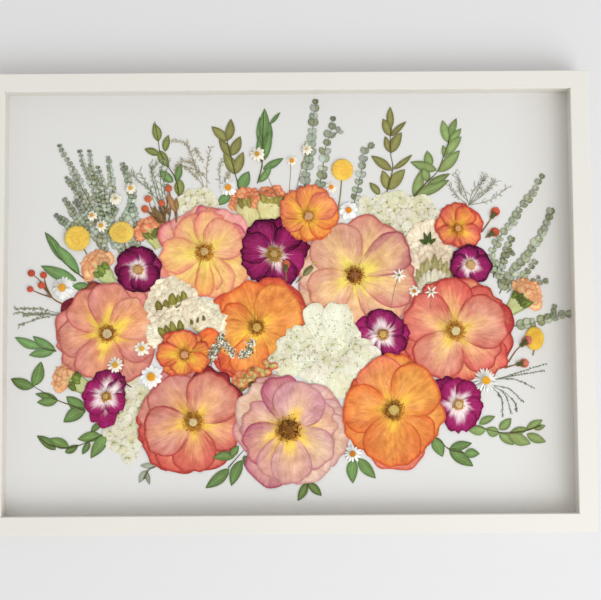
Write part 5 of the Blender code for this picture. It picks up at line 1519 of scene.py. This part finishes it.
def bevelAll(offset, segments):
    bpy.ops.object.mode_set(mode="EDIT")
    bpy.ops.mesh.select_all(action="SELECT")
    bpy.ops.mesh.bevel(offset=offset * mm, segments=segments, affect="EDGES")
    bpy.ops.object.mode_set(mode="OBJECT")


def fit(piece, material):
    piece.data.materials.append(material)
    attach(piece, "root")


# paint that fills the mitres, a hair below the face
corner = {"face": 19.0, "long": 1.36, "width": 0.9, "sink": 0.05, "deep": 0.6, "bevel": 0.1}
low, high = (np.array(v) / mm for v in cadBox)
for k, (sideX, sideY) in enumerate(((-1, -1), (1, -1), (1, 1), (-1, 1))):
    outer = np.array([high[0] * sideX, high[1] * sideY])
    middle = outer - np.array([sideX, sideY]) * corner["face"] / 2
    strip = addBlock(f"mitre_filler_{k + 1}", middle, high[2] - corner["sink"], math.atan2(sideY, sideX),
                     (corner["face"] * corner["long"], corner["width"], corner["deep"]))
    bevelAll(corner["bevel"], 2)
    fit(strip, woodPaint)

# what holds the board in, and the hanger's screws; behind, so guessed
flexPoint = {
    "long": 13, "wide": 9, "thick": 0.5, "top": 6.1, "taper": 0.35, "bevel": 0.15, "wall": (304.2, 228.2),
    "along x": (-210, -70, 70, 210), "along y": (-120, 0, 120),
}
places = [(x, side * flexPoint["wall"][1], -90 * side) for x in flexPoint["along x"] for side in (-1, 1)]
places += [(side * flexPoint["wall"][0], y, 90 + 90 * side) for y in flexPoint["along y"] for side in (-1, 1)]
for k, (x, y, turn) in enumerate(places):
    way = heading(math.radians(turn))
    middle = np.array([x, y]) + way * flexPoint["long"] / 2
    point = addBlock(f"flex_point_{k + 1}", middle, flexPoint["top"], math.radians(turn),
                     (flexPoint["long"], flexPoint["wide"], flexPoint["thick"]))
    for v in point.data.vertices:
        off = np.array(v.co[:2]) / mm - middle
        if off @ way > 0:  # the free end tapers
            off = way * (off @ way) + (off - way * (off @ way)) * flexPoint["taper"]
            v.co[0], v.co[1] = (middle + off) * mm
    bevelAll(flexPoint["bevel"], 2)
    fit(point, steel)

screw = {
    "radius": 2.3, "thick": 0.9, "at": ((-19.6, 197), (19.6, 197)), "top": 4.95, "segments": 28, "bevel": 0.25,
    "rim": 1.1, "drive": 0.45,
}
for k, (x, y) in enumerate(screw["at"]):
    bpy.ops.object.select_all(action="DESELECT")
    bpy.ops.mesh.primitive_cylinder_add(vertices=screw["segments"], radius=screw["radius"] * mm,
                                        depth=screw["thick"] * mm,
                                        location=(x * mm, y * mm, (screw["top"] - screw["thick"] / 2) * mm))
    head = placed(f"hanger_screw_{k + 1}")
    bpy.ops.object.mode_set(mode="EDIT")
    bpy.ops.mesh.select_mode(type="FACE")
    bpy.ops.object.mode_set(mode="OBJECT")
    bevelAll(screw["bevel"], 3)
    bpy.ops.object.mode_set(mode="EDIT")
    bpy.ops.mesh.select_all(action="DESELECT")
    bpy.ops.object.mode_set(mode="OBJECT")
    lowest = min(head.data.polygons, key=lambda face: face.center[2])
    lowest.select = True  # the end that faces backwards is sunk for the driver
    bpy.ops.object.mode_set(mode="EDIT")
    bpy.ops.mesh.inset(thickness=screw["rim"] * mm)
    bpy.ops.mesh.extrude_region_move(TRANSFORM_OT_translate={"value": (0, 0, screw["drive"] * mm)})
    bpy.ops.object.mode_set(mode="OBJECT")
    fit(head, steel)
print("holder dressed")

# Floor, light and camera
stage = {
    "floorColour": (227, 228, 230), "floorSize": 3.0, "keyPower": 64, "keyAt": (1.62, -1.62, 2.2), "keySize": 2.5,
    "keyColour": (0.98, 0.985, 1.0), "skyColour": (1.0, 0.975, 0.945), "skyPower": 0.76,
}
camera = {"at": (0.0122, -0.08148, 1.28665), "turn": (3.73, 0.025, -0.386), "lens": 72, "sensor": 36, "near": 0.01}

floorPaint, tree, shader = newMaterial("paleFloor")
shader.inputs["Base Color"].default_value = solid(stage["floorColour"])
shader.inputs["Roughness"].default_value = 0.9
shader.inputs["Specular IOR Level"].default_value = 0.1
bpy.ops.mesh.primitive_plane_add(size=stage["floorSize"], location=(0, 0, -0.0004))
floor = bpy.context.object
floor.name = "floor"
floor.data.materials.append(floorPaint)

world = bpy.data.worlds.new("softSky")
bpy.context.scene.world = world
world.use_nodes = True
sky = world.node_tree.nodes["Background"].inputs
sky["Color"].default_value = (*stage["skyColour"], 1)
sky["Strength"].default_value = stage["skyPower"]

key = bpy.data.objects.new("keyLight", bpy.data.lights.new("keyLight", "AREA"))
bpy.context.scene.collection.objects.link(key)
key.data.shape = "SQUARE"
key.data.size = stage["keySize"]
key.data.energy = stage["keyPower"]
key.data.color = stage["keyColour"]
key.location = stage["keyAt"]
key.rotation_euler = Vector(stage["keyAt"]).to_track_quat("Z", "Y").to_euler()

bpy.context.scene.view_settings.view_transform = "Standard"
eye = bpy.data.objects.new("photoCamera", bpy.data.cameras.new("photoCamera"))
bpy.context.scene.collection.objects.link(eye)
eye.location = camera["at"]
eye.rotation_euler = [math.radians(t) for t in camera["turn"]]
eye.data.lens = camera["lens"]
eye.data.sensor_width = camera["sensor"]
eye.data.clip_start = camera["near"]
bpy.context.scene.camera = eye
print("floor, light and camera set")
